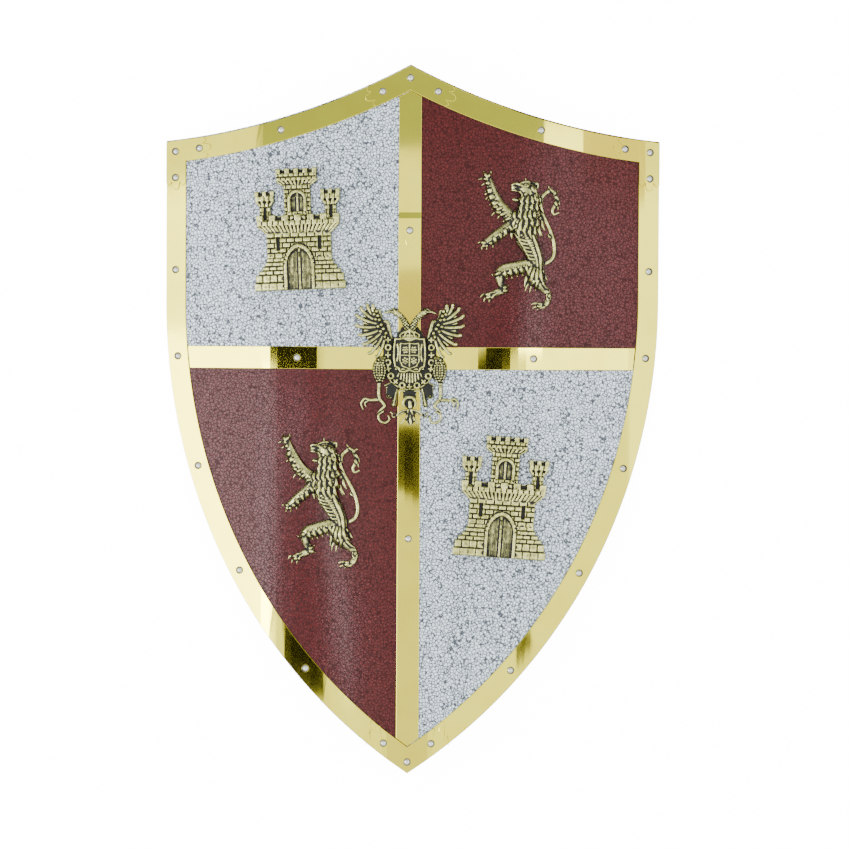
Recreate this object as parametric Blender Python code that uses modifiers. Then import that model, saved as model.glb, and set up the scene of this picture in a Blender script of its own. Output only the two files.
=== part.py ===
"""Decorative heater shield: a bowed steel sheet with brass strips, rivets and cast figures.

The shield lies on its two long side edges with its painted front up and its
top edge towards +Y. Every piece is laid out flat on the unrolled sheet, where
x runs across, y runs up and z is the height above the painted face, and is
then bent over the same cylinder, so that all pieces follow one another.
"""

import bmesh
import bpy
from math import asin, atan2, ceil, copysign, cos, pi, radians, sin, sqrt, tan
from mathutils import Euler, Matrix, Vector

# The sheet, measured along its painted face, in metres
HEIGHT = 0.700
HALF_WIDTH = 0.2512
SHOULDER_HEIGHT = 0.6274      # from the tip to the two upper corners
TOP_ARC_RADIUS = 0.633        # each half of the top edge is a hollow arc
SIDE_ARC_RADIUS = 0.560       # each side curves in to the tip
SHEET_THICKNESS = 0.0012
BOW_RADIUS = 0.730            # the sheet is bowed about its long axis
FACETS = 13                   # an odd number, so that one facet is level

# The brass strips
BORDER_WIDTH = 0.0216
CROSS_WIDTH = 0.0222
STRIP_THICKNESS = 0.0007
TOP_MARGIN = 0.0012           # bare steel above the border
SIDE_MARGIN = 0.0003
CROSSBAR_HEIGHT = 0.4110      # from the tip to the middle of the crossbar
PLATE_LEG = 0.0490            # from a corner to the end of a corner plate's lobe
LOBE_LENGTH = 0.0080
CUSP_LENGTH = 0.0040
OVERLAP_END_HEIGHT = 0.5200   # lobed end of the strip below the apex
OVERLAP_LENGTH = 0.0280
JOGGLE_LENGTH = 0.0060

# The rivets
SHANK_RADIUS = 0.0017
HEAD_RADIUS = 0.0038
HEAD_HEIGHT = 0.0024
TAIL_RADIUS = 0.0030
TAIL_HEIGHT = 0.0016
RIVET_SIDES = 8
HOLE_CLEARANCE = 0.0003

# The cast figures
CASTLE_HEIGHT = 0.1200
LION_HEIGHT = 0.1390
EAGLE_HEIGHT = 0.1216
UPPER_CASTLE_ACROSS = -0.1105
UPPER_CASTLE_MIDDLE = 0.5381   # above the tip, as for all figures
UPPER_CASTLE_TURN = radians(2.3)
LOWER_CASTLE_ACROSS = 0.0932
LOWER_CASTLE_MIDDLE = 0.2745
LOWER_CASTLE_TURN = radians(-4.0)
UPPER_LION_ACROSS = 0.1070
UPPER_LION_MIDDLE = 0.5275
LOWER_LION_ACROSS = -0.0870
LOWER_LION_MIDDLE = 0.2695
LOWER_LION_TURN = radians(4.0)
EAGLE_ACROSS = 0.0006
EAGLE_MIDDLE = 0.4047
FIGURE_TRIANGLES = {"lion": 420, "eagle": 800}    # before the flat back is cut

GAP = 0.0003                  # between pieces that touch
PASS_GAP = 0.0006             # across the mitres and butted ends
FACET_WIDTH = 2 * HALF_WIDTH / FACETS
FACET_ANGLE = FACET_WIDTH / BOW_RADIUS
LINE_SLACK = 1e-5              # share of a facet by which a point on its line may stray
EVEN_HEIGHT = 7               # decimals, so that level faces stay exactly level
MIDDLE = HEIGHT / 2
STRIP_BASE = GAP
STRIP_TOP = STRIP_BASE + STRIP_THICKNESS
PLATE_BASE = STRIP_TOP + GAP
PLATE_TOP = PLATE_BASE + STRIP_THICKNESS
EDGE_DROP = (BOW_RADIUS - SHEET_THICKNESS) * cos(FACETS * FACET_ANGLE / 2) / cos(FACET_ANGLE / 2)


def clear_scene():
    for old in list(bpy.data.objects):
        bpy.data.objects.remove(old, do_unlink=True)


def material(name, color, roughness, metallic):
    made = bpy.data.materials.new(name)
    made.use_nodes = True
    shader = made.node_tree.nodes["Principled BSDF"]
    shader.inputs["Base Color"].default_value = (*color, 1.0)
    shader.inputs["Roughness"].default_value = roughness
    shader.inputs["Metallic"].default_value = metallic
    return made


def bend(across, along, height):
    """Place a point of the flat layout on the bowed, faceted shield."""
    facet = max(0, min(FACETS // 2, ceil(abs(across) / FACET_WIDTH - 0.5 - LINE_SLACK)))
    facet = int(copysign(facet, across))
    share = (across - facet * FACET_WIDTH) / FACET_WIDTH
    reach = BOW_RADIUS + height
    sideways = 2 * share * reach * tan(FACET_ANGLE / 2)
    turn = facet * FACET_ANGLE
    x = reach * sin(turn) + sideways * cos(turn)
    z = reach * cos(turn) - sideways * sin(turn)
    return Vector((x, along, z - EDGE_DROP))


def bend_mesh(bm):
    """Crease the flat mesh along the facet lines and bend it."""
    for line in range(-(FACETS // 2), FACETS // 2):
        geometry = bm.verts[:] + bm.edges[:] + bm.faces[:]
        bmesh.ops.bisect_plane(bm, geom=geometry, dist=1e-6,
                               plane_co=((line + 0.5) * FACET_WIDTH, 0, 0), plane_no=(1, 0, 0))
    for vert in bm.verts:
        vert.co.z = round(vert.co.z, EVEN_HEIGHT)
    sloping = [face for face in bm.faces if len({vert.co.z for vert in face.verts}) > 1]
    bmesh.ops.triangulate(bm, faces=sloping)
    for vert in bm.verts:
        vert.co = bend(vert.co.x, vert.co.y, round(vert.co.z, EVEN_HEIGHT))
    bmesh.ops.recalc_face_normals(bm, faces=bm.faces)


def finish(name, bm, finish_material, collection):
    mesh = bpy.data.meshes.new(name)
    bm.to_mesh(mesh)
    bm.free()
    mesh.materials.append(finish_material)
    made = bpy.data.objects.new(name, mesh)
    collection.objects.link(made)
    return made


def evaluated_bmesh(source):
    """The object's evaluated mesh, welded, with the object removed."""
    depsgraph = bpy.context.evaluated_depsgraph_get()
    mesh = bpy.data.meshes.new_from_object(source.evaluated_get(depsgraph))
    bm = bmesh.new()
    bm.from_mesh(mesh)
    bm.transform(source.matrix_world)
    bmesh.ops.remove_doubles(bm, verts=bm.verts, dist=1e-6)
    bpy.data.objects.remove(source, do_unlink=True)
    bpy.data.meshes.remove(mesh)
    return bm


def flat_plate(outline, rivets, base, thickness):
    """A plate of one outline, lying flat from base upwards, drilled for the rivets."""
    curve = bpy.data.curves.new("outline", "CURVE")
    curve.dimensions = "2D"
    curve.fill_mode = "BOTH"
    curve.extrude = thickness / 2
    spline = curve.splines.new("POLY")
    spline.points.add(len(outline) - 1)
    for point, (x, y) in zip(spline.points, outline):
        point.co = (x, y, 0, 1)
    spline.use_cyclic_u = True
    flat = bpy.data.objects.new("outline", curve)
    flat.location.z = base + thickness / 2
    bpy.context.scene.collection.objects.link(flat)
    bpy.context.view_layer.update()
    plate = plain_object(evaluated_bmesh(flat))
    drills = bmesh.new()
    for across, along in rivets:
        bmesh.ops.create_cone(drills, cap_ends=True, segments=RIVET_SIDES, depth=0.01,
                              radius1=SHANK_RADIUS + HOLE_CLEARANCE, radius2=SHANK_RADIUS + HOLE_CLEARANCE,
                              matrix=Matrix.Translation((across, along, 0)))
    return combined(plate, plain_object(drills), "DIFFERENCE")


def plain_object(bm):
    mesh = bpy.data.meshes.new("block")
    bm.to_mesh(mesh)
    bm.free()
    made = bpy.data.objects.new("block", mesh)
    bpy.context.scene.collection.objects.link(made)
    return made


def combined(body, tool, operation):
    """The Boolean of two objects as a mesh, with both objects removed."""
    join = body.modifiers.new("join", "BOOLEAN")
    join.operation = operation
    join.object = tool
    bpy.context.view_layer.update()
    result = evaluated_bmesh(body)
    bpy.data.objects.remove(tool, do_unlink=True)
    return result


# The outline, drawn for the right half and mirrored

def shoulder():
    return SHOULDER_HEIGHT - MIDDLE


def top_arc_centre():
    """Centre of the hollow arc from the apex to the right corner."""
    apex = Vector((0, HEIGHT - MIDDLE))
    corner = Vector((HALF_WIDTH, shoulder()))
    chord = corner - apex
    rise = sqrt(TOP_ARC_RADIUS ** 2 - (chord.length / 2) ** 2)
    outward = Vector((-chord.y, chord.x)).normalized()
    return (apex + corner) / 2 + outward * rise


def side_arc_centre():
    """Centre of the arc that leaves the straight side and reaches the tip."""
    x = HALF_WIDTH - SIDE_ARC_RADIUS
    return Vector((x, sqrt(SIDE_ARC_RADIUS ** 2 - x ** 2) - MIDDLE))


def top_point(inset, across):
    """Point of the top edge, set in by a distance, at a place across."""
    centre = top_arc_centre()
    radius = TOP_ARC_RADIUS + inset
    return (across, centre.y - sqrt(radius ** 2 - (across - centre.x) ** 2))


def side_point(inset, along):
    """Point of the side edge, set in by a distance, at a height."""
    centre = side_arc_centre()
    radius = SIDE_ARC_RADIUS - inset
    if along >= centre.y:
        return (HALF_WIDTH - inset, along)
    return (centre.x + sqrt(radius ** 2 - (along - centre.y) ** 2), along)


def tip_height(inset):
    centre = side_arc_centre()
    return centre.y - sqrt((SIDE_ARC_RADIUS - inset) ** 2 - centre.x ** 2)


def top_run(inset, start, end, steps):
    return [top_point(inset, start + (end - start) * step / steps) for step in range(steps + 1)]


def side_run(inset, start, end, steps):
    """Side points from one height down to another, evenly along the arc."""
    centre = side_arc_centre()
    radius = SIDE_ARC_RADIUS - inset
    points = [(HALF_WIDTH - inset, start)] if start > centre.y else []
    first = asin(max(-1.0, min(0.0, (start - centre.y) / radius)))
    last = asin((end - centre.y) / radius)
    for step in range(steps + 1):
        turn = first + (last - first) * step / steps
        points.append((centre.x + radius * cos(turn), centre.y + radius * sin(turn)))
    return points


def corner_height(top_inset, side_inset):
    return top_point(top_inset, HALF_WIDTH - side_inset)[1]


def mirrored(points):
    return [(-x, y) for x, y in reversed(points)]


def heater_outline(top_inset, side_inset, top_steps=6, side_steps=12):
    right = top_run(top_inset, 0, HALF_WIDTH - side_inset, top_steps)
    corner = corner_height(top_inset, side_inset)
    right += side_run(side_inset, corner, tip_height(side_inset), side_steps)[1:]
    right[-1] = (0, tip_height(side_inset))
    return right + mirrored(right)[1:-1]


TOP_IN = TOP_MARGIN + BORDER_WIDTH
SIDE_IN = SIDE_MARGIN + BORDER_WIDTH


def top_strip_outline():
    """Right top strip, mitred at the apex and at the corner."""
    outer = top_run(TOP_MARGIN, PASS_GAP / 2, HALF_WIDTH - SIDE_MARGIN - PASS_GAP, 6)
    inner = top_run(TOP_IN, PASS_GAP / 2, HALF_WIDTH - SIDE_IN - PASS_GAP, 6)
    return outer + inner[::-1]


def side_strip_outline():
    """Right side strip, mitred at the corner and cut plumb at the tip."""
    outer = side_run(SIDE_MARGIN, corner_height(TOP_MARGIN, SIDE_MARGIN),
                     tip_height(SIDE_MARGIN), 12)
    inner = side_run(SIDE_IN, corner_height(TOP_IN, SIDE_IN), tip_height(SIDE_IN), 12)
    outer[-1] = side_foot(SIDE_MARGIN)
    inner[-1] = side_foot(SIDE_IN)
    return outer + inner[::-1]


def side_foot(inset):
    """Where a side strip's edge meets the cut beside the centre line."""
    centre = side_arc_centre()
    radius = SIDE_ARC_RADIUS - inset
    x = PASS_GAP / 2
    return (x, centre.y - sqrt(radius ** 2 - (x - centre.x) ** 2))


def lobed_end():
    """Shape of a scalloped strip end: place across the strip and set-back from the lobe."""
    notch = LOBE_LENGTH
    cusp = LOBE_LENGTH - CUSP_LENGTH
    half = [(0.0, 0.0), (0.20, 0.18 * notch), (0.34, 0.55 * notch), (0.42, notch),
            (0.70, cusp), (0.84, cusp + 0.3 * CUSP_LENGTH), (1.0, 0.86 * notch)]
    return [(-share, back) for share, back in reversed(half[1:])] + half


def top_leg(leg, sign=1):
    """Lobed end of a plate leg that runs along the top edge, outer side first.

    With sign 1 the leg runs from the apex, with sign -1 from the corner."""
    centre = top_arc_centre()
    middle_inset = TOP_MARGIN + BORDER_WIDTH / 2
    radius = TOP_ARC_RADIUS + middle_inset
    start = 0 if sign > 0 else HALF_WIDTH - SIDE_MARGIN - BORDER_WIDTH / 2
    x, y = top_point(middle_inset, start)
    first = atan2(y - centre.y, x - centre.x)
    points = []
    for share, back in lobed_end():
        turn = first + sign * (leg - back) / radius
        reach = radius + share * BORDER_WIDTH / 2
        points.append((centre.x + reach * cos(turn), centre.y + reach * sin(turn)))
    return points


def corner_side_leg(leg):
    """Lobed end of a plate leg that runs down the straight side, outer side first."""
    middle = SIDE_MARGIN + BORDER_WIDTH / 2
    start = corner_height(TOP_MARGIN + BORDER_WIDTH / 2, middle)
    return [(HALF_WIDTH - middle - share * BORDER_WIDTH / 2, start - leg + back)
            for share, back in lobed_end()]


def tip_leg(leg):
    """Lobed end of a plate leg that runs up the side from the tip, outer side first."""
    centre = side_arc_centre()
    middle = SIDE_MARGIN + BORDER_WIDTH / 2
    radius = SIDE_ARC_RADIUS - middle
    first = atan2(tip_height(middle) - centre.y, -centre.x)
    points = []
    for share, back in lobed_end():
        turn = first + (leg - back) / radius
        reach = radius - share * BORDER_WIDTH / 2
        points.append((centre.x + reach * cos(turn), centre.y + reach * sin(turn)))
    return points


def corner_plate_outline():
    outer = (HALF_WIDTH - SIDE_MARGIN, corner_height(TOP_MARGIN, SIDE_MARGIN))
    inner = (HALF_WIDTH - SIDE_IN, corner_height(TOP_IN, SIDE_IN))
    leg = PLATE_LEG - BORDER_WIDTH / 2
    return [outer] + corner_side_leg(leg) + [inner] + top_leg(leg, -1)[::-1]


def apex_plate_outline():
    right = [top_point(TOP_MARGIN, 0)] + top_leg(PLATE_LEG) + [top_point(TOP_IN, 0)]
    return right + mirrored(right)[1:-1]


def tip_plate_outline():
    right = [(0, tip_height(SIDE_IN))] + tip_leg(PLATE_LEG)[::-1] + [(0, tip_height(SIDE_MARGIN))]
    return right + mirrored(right)[1:-1]


def crossbar_middle():
    return CROSSBAR_HEIGHT - MIDDLE


def crossbar_outline():
    low = crossbar_middle() - CROSS_WIDTH / 2
    high = low + CROSS_WIDTH
    end = SIDE_IN + PASS_GAP
    right = [side_point(end, high), side_point(end, low)]
    return right + mirrored(right)


def apex_strip_outline():
    """Strip from the border's apex down to its lobed end over the next strip."""
    half = CROSS_WIDTH / 2
    end = OVERLAP_END_HEIGHT - MIDDLE
    lobe = [(share * half, end + back) for share, back in lobed_end()]
    inset = TOP_IN + PASS_GAP
    return [top_point(inset, 0), top_point(inset, half)] + lobe[::-1] + [mirror_top(inset, half)]


def mirror_top(inset, across):
    x, y = top_point(inset, across)
    return (-x, y)


def upper_strip_outline():
    half = CROSS_WIDTH / 2
    low = crossbar_middle() + CROSS_WIDTH / 2 + PASS_GAP
    high = OVERLAP_END_HEIGHT - MIDDLE + OVERLAP_LENGTH
    return [(-half, low), (half, low), (half, high), (-half, high)]


def lower_strip_outline():
    half = CROSS_WIDTH / 2
    high = crossbar_middle() - CROSS_WIDTH / 2 - PASS_GAP
    inset = SIDE_IN + PASS_GAP
    centre = side_arc_centre()
    low = centre.y - sqrt((SIDE_ARC_RADIUS - inset) ** 2 - (half - centre.x) ** 2)
    return [(-half, high), (half, high), (half, low), (0, tip_height(inset)), (-half, low)]


# Rivets, as places on the flat layout

CENTRE_LINE = BORDER_WIDTH / 2
RIVET_PITCH_AT_CORNER = 0.0260
RIVET_PITCH_AT_APEX = 0.0272
RIVET_PITCH_AT_TIP = 0.0260
TOP_RIVET_ACROSS = 0.1289
SIDE_RIVET_HEIGHTS = (0.4982, 0.4119, 0.3024, 0.1988, 0.1028)
TIP_RIVET_HEIGHTS = (0.0118, 0.0302)
APEX_STRIP_RIVET_HEIGHT = 0.5368
LOWER_STRIP_RIVET_HEIGHT = 0.2329
CROSSBAR_RIVETS = (-0.1116, 0.1226)


def border_rivets():
    """Places of the border's rivets, with True where a corner plate is under the head."""
    inset_top = TOP_MARGIN + CENTRE_LINE
    inset_side = SIDE_MARGIN + CENTRE_LINE
    corner = (HALF_WIDTH - inset_side, corner_height(inset_top, inset_side))
    right = [
        (corner, True),
        (top_point(inset_top, corner[0] - RIVET_PITCH_AT_CORNER), True),
        ((corner[0], corner[1] - RIVET_PITCH_AT_CORNER), True),
        (top_point(inset_top, RIVET_PITCH_AT_APEX), True),
        (top_point(inset_top, TOP_RIVET_ACROSS), False),
        (side_point(inset_side, TIP_RIVET_HEIGHTS[1] - MIDDLE), True),
    ]
    right += [(side_point(inset_side, height - MIDDLE), False) for height in SIDE_RIVET_HEIGHTS]
    left = [((-place[0], place[1]), raised) for place, raised in right]
    middle = [((0, top_point(inset_top, 0)[1]), True), ((0, TIP_RIVET_HEIGHTS[0] - MIDDLE), True)]
    return left + middle + right


def cross_rivets():
    return [
        ((0, APEX_STRIP_RIVET_HEIGHT - MIDDLE), True),
        ((0, LOWER_STRIP_RIVET_HEIGHT - MIDDLE), False),
        ((CROSSBAR_RIVETS[0], crossbar_middle()), False),
        ((CROSSBAR_RIVETS[1], crossbar_middle()), False),
    ]


def rivet_mesh(grip, finish_material):
    """A rivet turned about z, its head resting on z = 0 and its tail below the grip."""
    profile = [
        (0, HEAD_HEIGHT), (HEAD_RADIUS * 0.78, HEAD_HEIGHT * 0.62), (HEAD_RADIUS, 0),
        (SHANK_RADIUS, 0), (SHANK_RADIUS, -grip), (TAIL_RADIUS, -grip), (0, -grip - TAIL_HEIGHT),
    ]
    bm = bmesh.new()
    verts = [bm.verts.new((radius, 0, height)) for radius, height in profile]
    edges = [bm.edges.new(pair) for pair in zip(verts, verts[1:])]
    bmesh.ops.spin(bm, geom=verts + edges, axis=(0, 0, 1), cent=(0, 0, 0), angle=2 * pi,
                   steps=RIVET_SIDES, use_merge=True)
    bmesh.ops.remove_doubles(bm, verts=bm.verts, dist=1e-6)
    bmesh.ops.recalc_face_normals(bm, faces=bm.faces)
    mesh = bpy.data.meshes.new("rivet")
    bm.to_mesh(mesh)
    bm.free()
    mesh.materials.append(finish_material)
    return mesh


def place_rivets(finish_material, collection):
    meshes = {}
    for raised, seat in ((False, STRIP_TOP), (True, PLATE_TOP)):
        meshes[raised] = rivet_mesh(seat + 3 * GAP + SHEET_THICKNESS, finish_material)
    for number, (place, raised) in enumerate(border_rivets() + cross_rivets(), 1):
        made = bpy.data.objects.new(f"rivet_{number:02d}", meshes[raised])
        seat = (PLATE_TOP if raised else STRIP_TOP) + GAP
        made.location = bend(place[0], place[1], seat)
        facet = round(place[0] / FACET_WIDTH)
        made.rotation_euler = Euler((0, facet * FACET_ANGLE, 0))
        collection.objects.link(made)


# Cast figures, in hundredths of their own height from their middle

LION_BODY = {
    "belly": [(3.9, 10.3, 7.1), (5.3, 1.8, 7.4), (9.6, -6.7, 5.5), (12.8, -14.5, 4.3), (13.1, -18.8, 4.3)],
    "neck": [(7.4, 34.4, 5.8), (6.0, 23.8, 6.9), (4.3, 13.1, 7.9)],
    "muzzle": [(5.3, 37.2, 4.3), (1.1, 37.6, 3.0), (-3.9, 37.1, 1.7)],
    "jaw": [(5.3, 30.8, 3.5), (1.1, 28.4, 2.0), (-3.9, 28.9, 1.0)],
    "brow": [(1.4, 40.2, 1.3), (5.3, 40.9, 1.4), (9.6, 39.7, 1.7), (12.5, 39.2, 1.0)],
    "crest": [(4.6, 41.5, 1.0), (4.6, 44.0, 0.5)],
    "raised_leg": [(-2.5, 15.2, 4.4), (-8.9, 19.5, 3.4), (-15.2, 25.2, 3.5), (-19.1, 34.4, 2.8),
                   (-21.3, 42.2, 2.4), (-22.7, 45.4, 2.6)],
    "low_leg": [(-3.9, 13.8, 3.8), (-8.2, 8.9, 2.8), (-15.2, 3.9, 3.0), (-20.9, -0.4, 2.4), (-24.5, -2.5, 2.1)],
    "fore_thigh": [(12.4, -17.4, 4.3), (5.3, -17.7, 4.4), (-3.9, -19.9, 4.7), (-11.0, -21.6, 4.3),
                   (-13.1, -25.2, 3.4), (-12.4, -30.1, 2.4), (-9.9, -34.4, 2.6)],
    "fore_foot": [(-9.9, -35.1, 2.4), (-15.2, -36.9, 2.3), (-20.9, -39.0, 2.0)],
    "back_thigh": [(13.3, -16.0, 4.1), (12.4, -22.3, 5.1), (13.8, -28.0, 4.8), (17.7, -33.3, 2.7),
                   (21.3, -36.9, 2.1), (22.3, -39.7, 2.0)],
    "back_foot": [(22.3, -40.1, 2.0), (20.3, -44.7, 2.0), (16.0, -46.1, 1.6)],
    "tail": [(14.5, -15.6, 1.4), (19.5, -16.0, 1.4), (24.1, -13.1, 1.5), (25.9, -8.2, 1.5), (25.5, -1.1, 1.5),
             (23.4, 6.0, 1.5), (20.2, 13.1, 1.4), (17.2, 19.5, 1.4), (16.0, 25.2, 1.4), (17.0, 30.8, 1.4),
             (20.6, 34.4, 1.4), (23.4, 35.1, 1.5), (25.9, 33.0, 1.5), (27.2, 28.7, 1.4), (25.9, 24.5, 1.4),
             (24.3, 21.6, 1.2), (25.5, 18.8, 1.0), (28.9, 20.0, 0.7)],
}
LION_SPIKES = [
    [(-22.7, 45.0), (-25.2, 48.9)], [(-21.3, 45.7), (-20.0, 49.2)], [(-23.0, 43.2), (-28.9, 42.8)],
    [(-22.0, 40.4), (-26.6, 38.6)], [(-20.2, 35.5), (-24.0, 34.4)], [(-19.1, 31.2), (-23.6, 28.8)],
    [(-17.7, 26.6), (-20.6, 24.5)], [(-14.8, 19.5), (-19.4, 17.0)], [(-11.7, 18.1), (-14.8, 15.4)],
    [(-24.5, -1.9), (-29.0, -2.2)], [(-24.8, -3.9), (-26.1, -6.9)], [(-22.7, -3.9), (-22.8, -6.9)],
    [(-19.9, -2.1), (-18.2, -5.4)], [(-9.6, 6.7), (-11.0, 2.0)], [(-13.1, 3.9), (-13.1, 0.5)],
    [(24.5, 35.1), (21.0, 39.5)], [(25.9, 33.7), (29.0, 34.6)], [(27.3, 30.8), (29.4, 25.4)],
    [(22.7, 2.8), (21.4, 5.0)], [(-20.9, -38.3), (-26.8, -40.6)], [(-20.6, -40.1), (-24.3, -43.7)],
    [(-18.4, -40.1), (-20.7, -44.1)], [(-9.9, -35.5), (-6.4, -37.1)], [(-9.9, -33.3), (-6.8, -31.3)],
    [(-13.8, -23.0), (-19.2, -24.0)], [(16.3, -45.0), (9.2, -45.4)], [(16.3, -46.4), (10.2, -48.3)],
    [(18.4, -47.1), (13.6, -49.2)], [(22.3, -39.0), (23.5, -37.9)], [(-10.3, -23.8), (-7.7, -27.5)],
    [(-6.7, -23.0), (-4.3, -27.3)], [(-2.5, -21.3), (-0.3, -23.8)], [(8.9, -27.3), (5.1, -36.2)],
    [(11.0, -28.7), (8.2, -37.0)], [(13.5, -28.7), (12.5, -35.5)], [(16.3, -26.6), (19.6, -30.8)],
    [(17.4, -30.1), (22.8, -34.8)], [(9.0, 18.0), (14.0, 3.5)], [(7.0, 14.0), (9.5, 3.0)],
    [(10.0, 26.0), (13.5, 16.0)], [(4.0, 13.0), (5.0, 3.0)],
]
EAGLE_HALF = {
    "body": [(0, 23.3, 6.0), (0, 10.8, 11.0), (0, -4.0, 12.5), (0, -13.6, 8.0)],
    "collar": [(17.6, 20.0, 2.6), (17.6, 4.0, 2.6), (16.6, -4.0, 2.6), (12.5, -11.5, 2.6), (6.5, -16.0, 2.6),
               (0, -17.6, 2.6)],
    "neck": [(1.8, 27.7, 3.7), (3.9, 34.3, 2.8), (8.1, 39.9, 2.4), (12.5, 42.8, 2.5)],
    "beak": [(13.6, 43.2, 2.1), (17.7, 42.8, 1.3), (20.9, 41.4, 0.7)],
    "arm": [(15.5, 21.1, 2.4), (17.0, 28.4, 2.2), (18.8, 34.3, 2.4), (22.8, 33.6, 2.9), (24.7, 38.0, 2.5),
            (25.1, 43.2, 2.0)],
    "web": [(17.0, 22.0, 3.4), (21.0, 25.5, 4.6), (26.2, 30.7, 5.4), (29.8, 38.0, 5.0), (30.6, 43.0, 3.4)],
    "thigh": [(19.0, 4.1, 3.4), (24.0, -1.0, 6.4), (24.3, -7.7, 5.9), (24.3, -12.8, 2.9)],
    "shank": [(24.7, -13.6, 2.0), (25.1, -21.7, 1.7), (24.7, -27.6, 1.9)],
    "outer_toe": [(24.7, -28.3, 1.8), (32.1, -28.9, 1.6), (36.5, -27.9, 1.5), (39.4, -32.0, 1.1), (37.6, -36.6, 0.7)],
    "inner_toe": [(24.3, -28.3, 1.8), (20.3, -33.1, 1.6), (22.8, -36.8, 1.3), (24.7, -42.3, 1.2),
                  (22.4, -46.6, 1.2), (18.4, -46.8, 1.1), (16.4, -43.6, 1.0)],
    "tail_feathers": [(9.2, -13.0, 4.0), (17.0, -21.0, 3.0), (16.8, -25.4, 2.4)],
    "pendant": [(10.0, -17.0, 2.0), (11.1, -23.1, 1.5), (12.0, -28.3, 2.1), (12.6, -32.4, 2.4)],
    "arch": [(0, -17.0, 3.0), (0, -21.7, 3.0), (3.4, -26.0, 2.4), (4.6, -31.0, 2.0), (0.6, -36.0, 2.4)],
    "fleur": [(0.4, -28.0, 2.6), (0.7, -37.1, 2.6), (0.9, -44.5, 2.2), (0.9, -48.2, 1.4)],
    "leaf": [(1.1, -37.1, 1.8), (6.3, -39.0, 1.8), (11.5, -40.8, 1.3), (16.0, -43.5, 1.2)],
    "low_leaf": [(1.1, -40.8, 1.5), (4.1, -44.5, 1.3), (6.8, -47.8, 0.9)],
}
FEATHER_TIPS = [(31.0, 47.9), (35.2, 47.9), (40.0, 45.2), (43.4, 38.8), (43.1, 30.6), (40.4, 22.9),
                (36.6, 15.6), (31.4, 7.8), (25.0, 5.6)]
FEATHER_ROOTS_FROM = Vector((29.5, 41.0))
FEATHER_ROOTS_TO = Vector((19.0, 22.0))
FEATHER_RADIUS = 1.35
SPIKE_RADIUS = 1.2
FLATNESS = 0.62               # height of the relief against its breadth


def bead_limb(bm, points, unit, lift=0.35):
    """A tapered limb of round beads along a path; the points hold x, y and radius."""
    path = [Vector(point) * unit for point in points]
    for start, end in zip(path, path[1:]):
        distance = (end - start).xy.length
        count = max(1, round(distance / (0.45 * min(start.z, end.z))))
        for step in range(count + 1):
            x, y, radius = start.lerp(end, step / count)
            bmesh.ops.create_icosphere(bm, subdivisions=1, radius=radius,
                                       matrix=Matrix.Translation((x, y, lift * radius)))


def fused_relief(bm, triangles, voxel):
    """Fuse overlapping shapes into one relief with few faces and a flat back."""
    relief = plain_object(bm)
    fuse = relief.modifiers.new("fuse", "REMESH")
    fuse.mode = "VOXEL"
    fuse.voxel_size = voxel
    bpy.context.view_layer.update()
    fused = evaluated_bmesh(relief)
    bmesh.ops.triangulate(fused, faces=fused.faces)
    share = triangles / len(fused.faces)
    relief = plain_object(fused)
    thin = relief.modifiers.new("thin", "DECIMATE")
    thin.ratio = share
    bpy.context.view_layer.update()
    thinned = evaluated_bmesh(relief)
    cut_flat_back(thinned)
    return thinned


def cut_flat_back(bm):
    geometry = bm.verts[:] + bm.edges[:] + bm.faces[:]
    cut = bmesh.ops.bisect_plane(bm, geom=geometry, dist=1e-7, plane_co=(0, 0, 0),
                                 plane_no=(0, 0, 1), clear_inner=True)
    rim = [item for item in cut["geom_cut"] if isinstance(item, bmesh.types.BMEdge)]
    bmesh.ops.triangle_fill(bm, edges=rim, use_beauty=True, normal=(0, 0, -1))


def lion_relief():
    unit = LION_HEIGHT / 100
    bm = bmesh.new()
    for points in LION_BODY.values():
        bead_limb(bm, points, unit)
    for root, tip in LION_SPIKES:
        bead_limb(bm, [(*root, SPIKE_RADIUS), (*tip, 0.6)], unit, lift=0.6)
    bmesh.ops.scale(bm, vec=(1, 1, FLATNESS), verts=bm.verts)
    return fused_relief(bm, FIGURE_TRIANGLES["lion"], LION_HEIGHT / 170)


def eagle_relief():
    unit = EAGLE_HEIGHT / 100
    bm = bmesh.new()
    for side in (-1, 1):
        for points in EAGLE_HALF.values():
            bead_limb(bm, [(side * x, y, radius) for x, y, radius in points], unit)
        for number, tip in enumerate(FEATHER_TIPS):
            root = FEATHER_ROOTS_FROM.lerp(FEATHER_ROOTS_TO, number / (len(FEATHER_TIPS) - 1))
            feather = [(side * root.x, root.y, FEATHER_RADIUS), (side * tip[0], tip[1], FEATHER_RADIUS)]
            bead_limb(bm, feather, unit)
    bmesh.ops.scale(bm, vec=(1, 1, FLATNESS), verts=bm.verts)
    cartouche = Matrix.Translation((0, 8 * unit, 3.5 * unit)) @ Matrix.Diagonal((25 * unit, 27 * unit, 9 * unit, 1))
    bmesh.ops.create_cube(bm, size=1.0, matrix=cartouche)
    return fused_relief(bm, FIGURE_TRIANGLES["eagle"], EAGLE_HEIGHT / 150)


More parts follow.
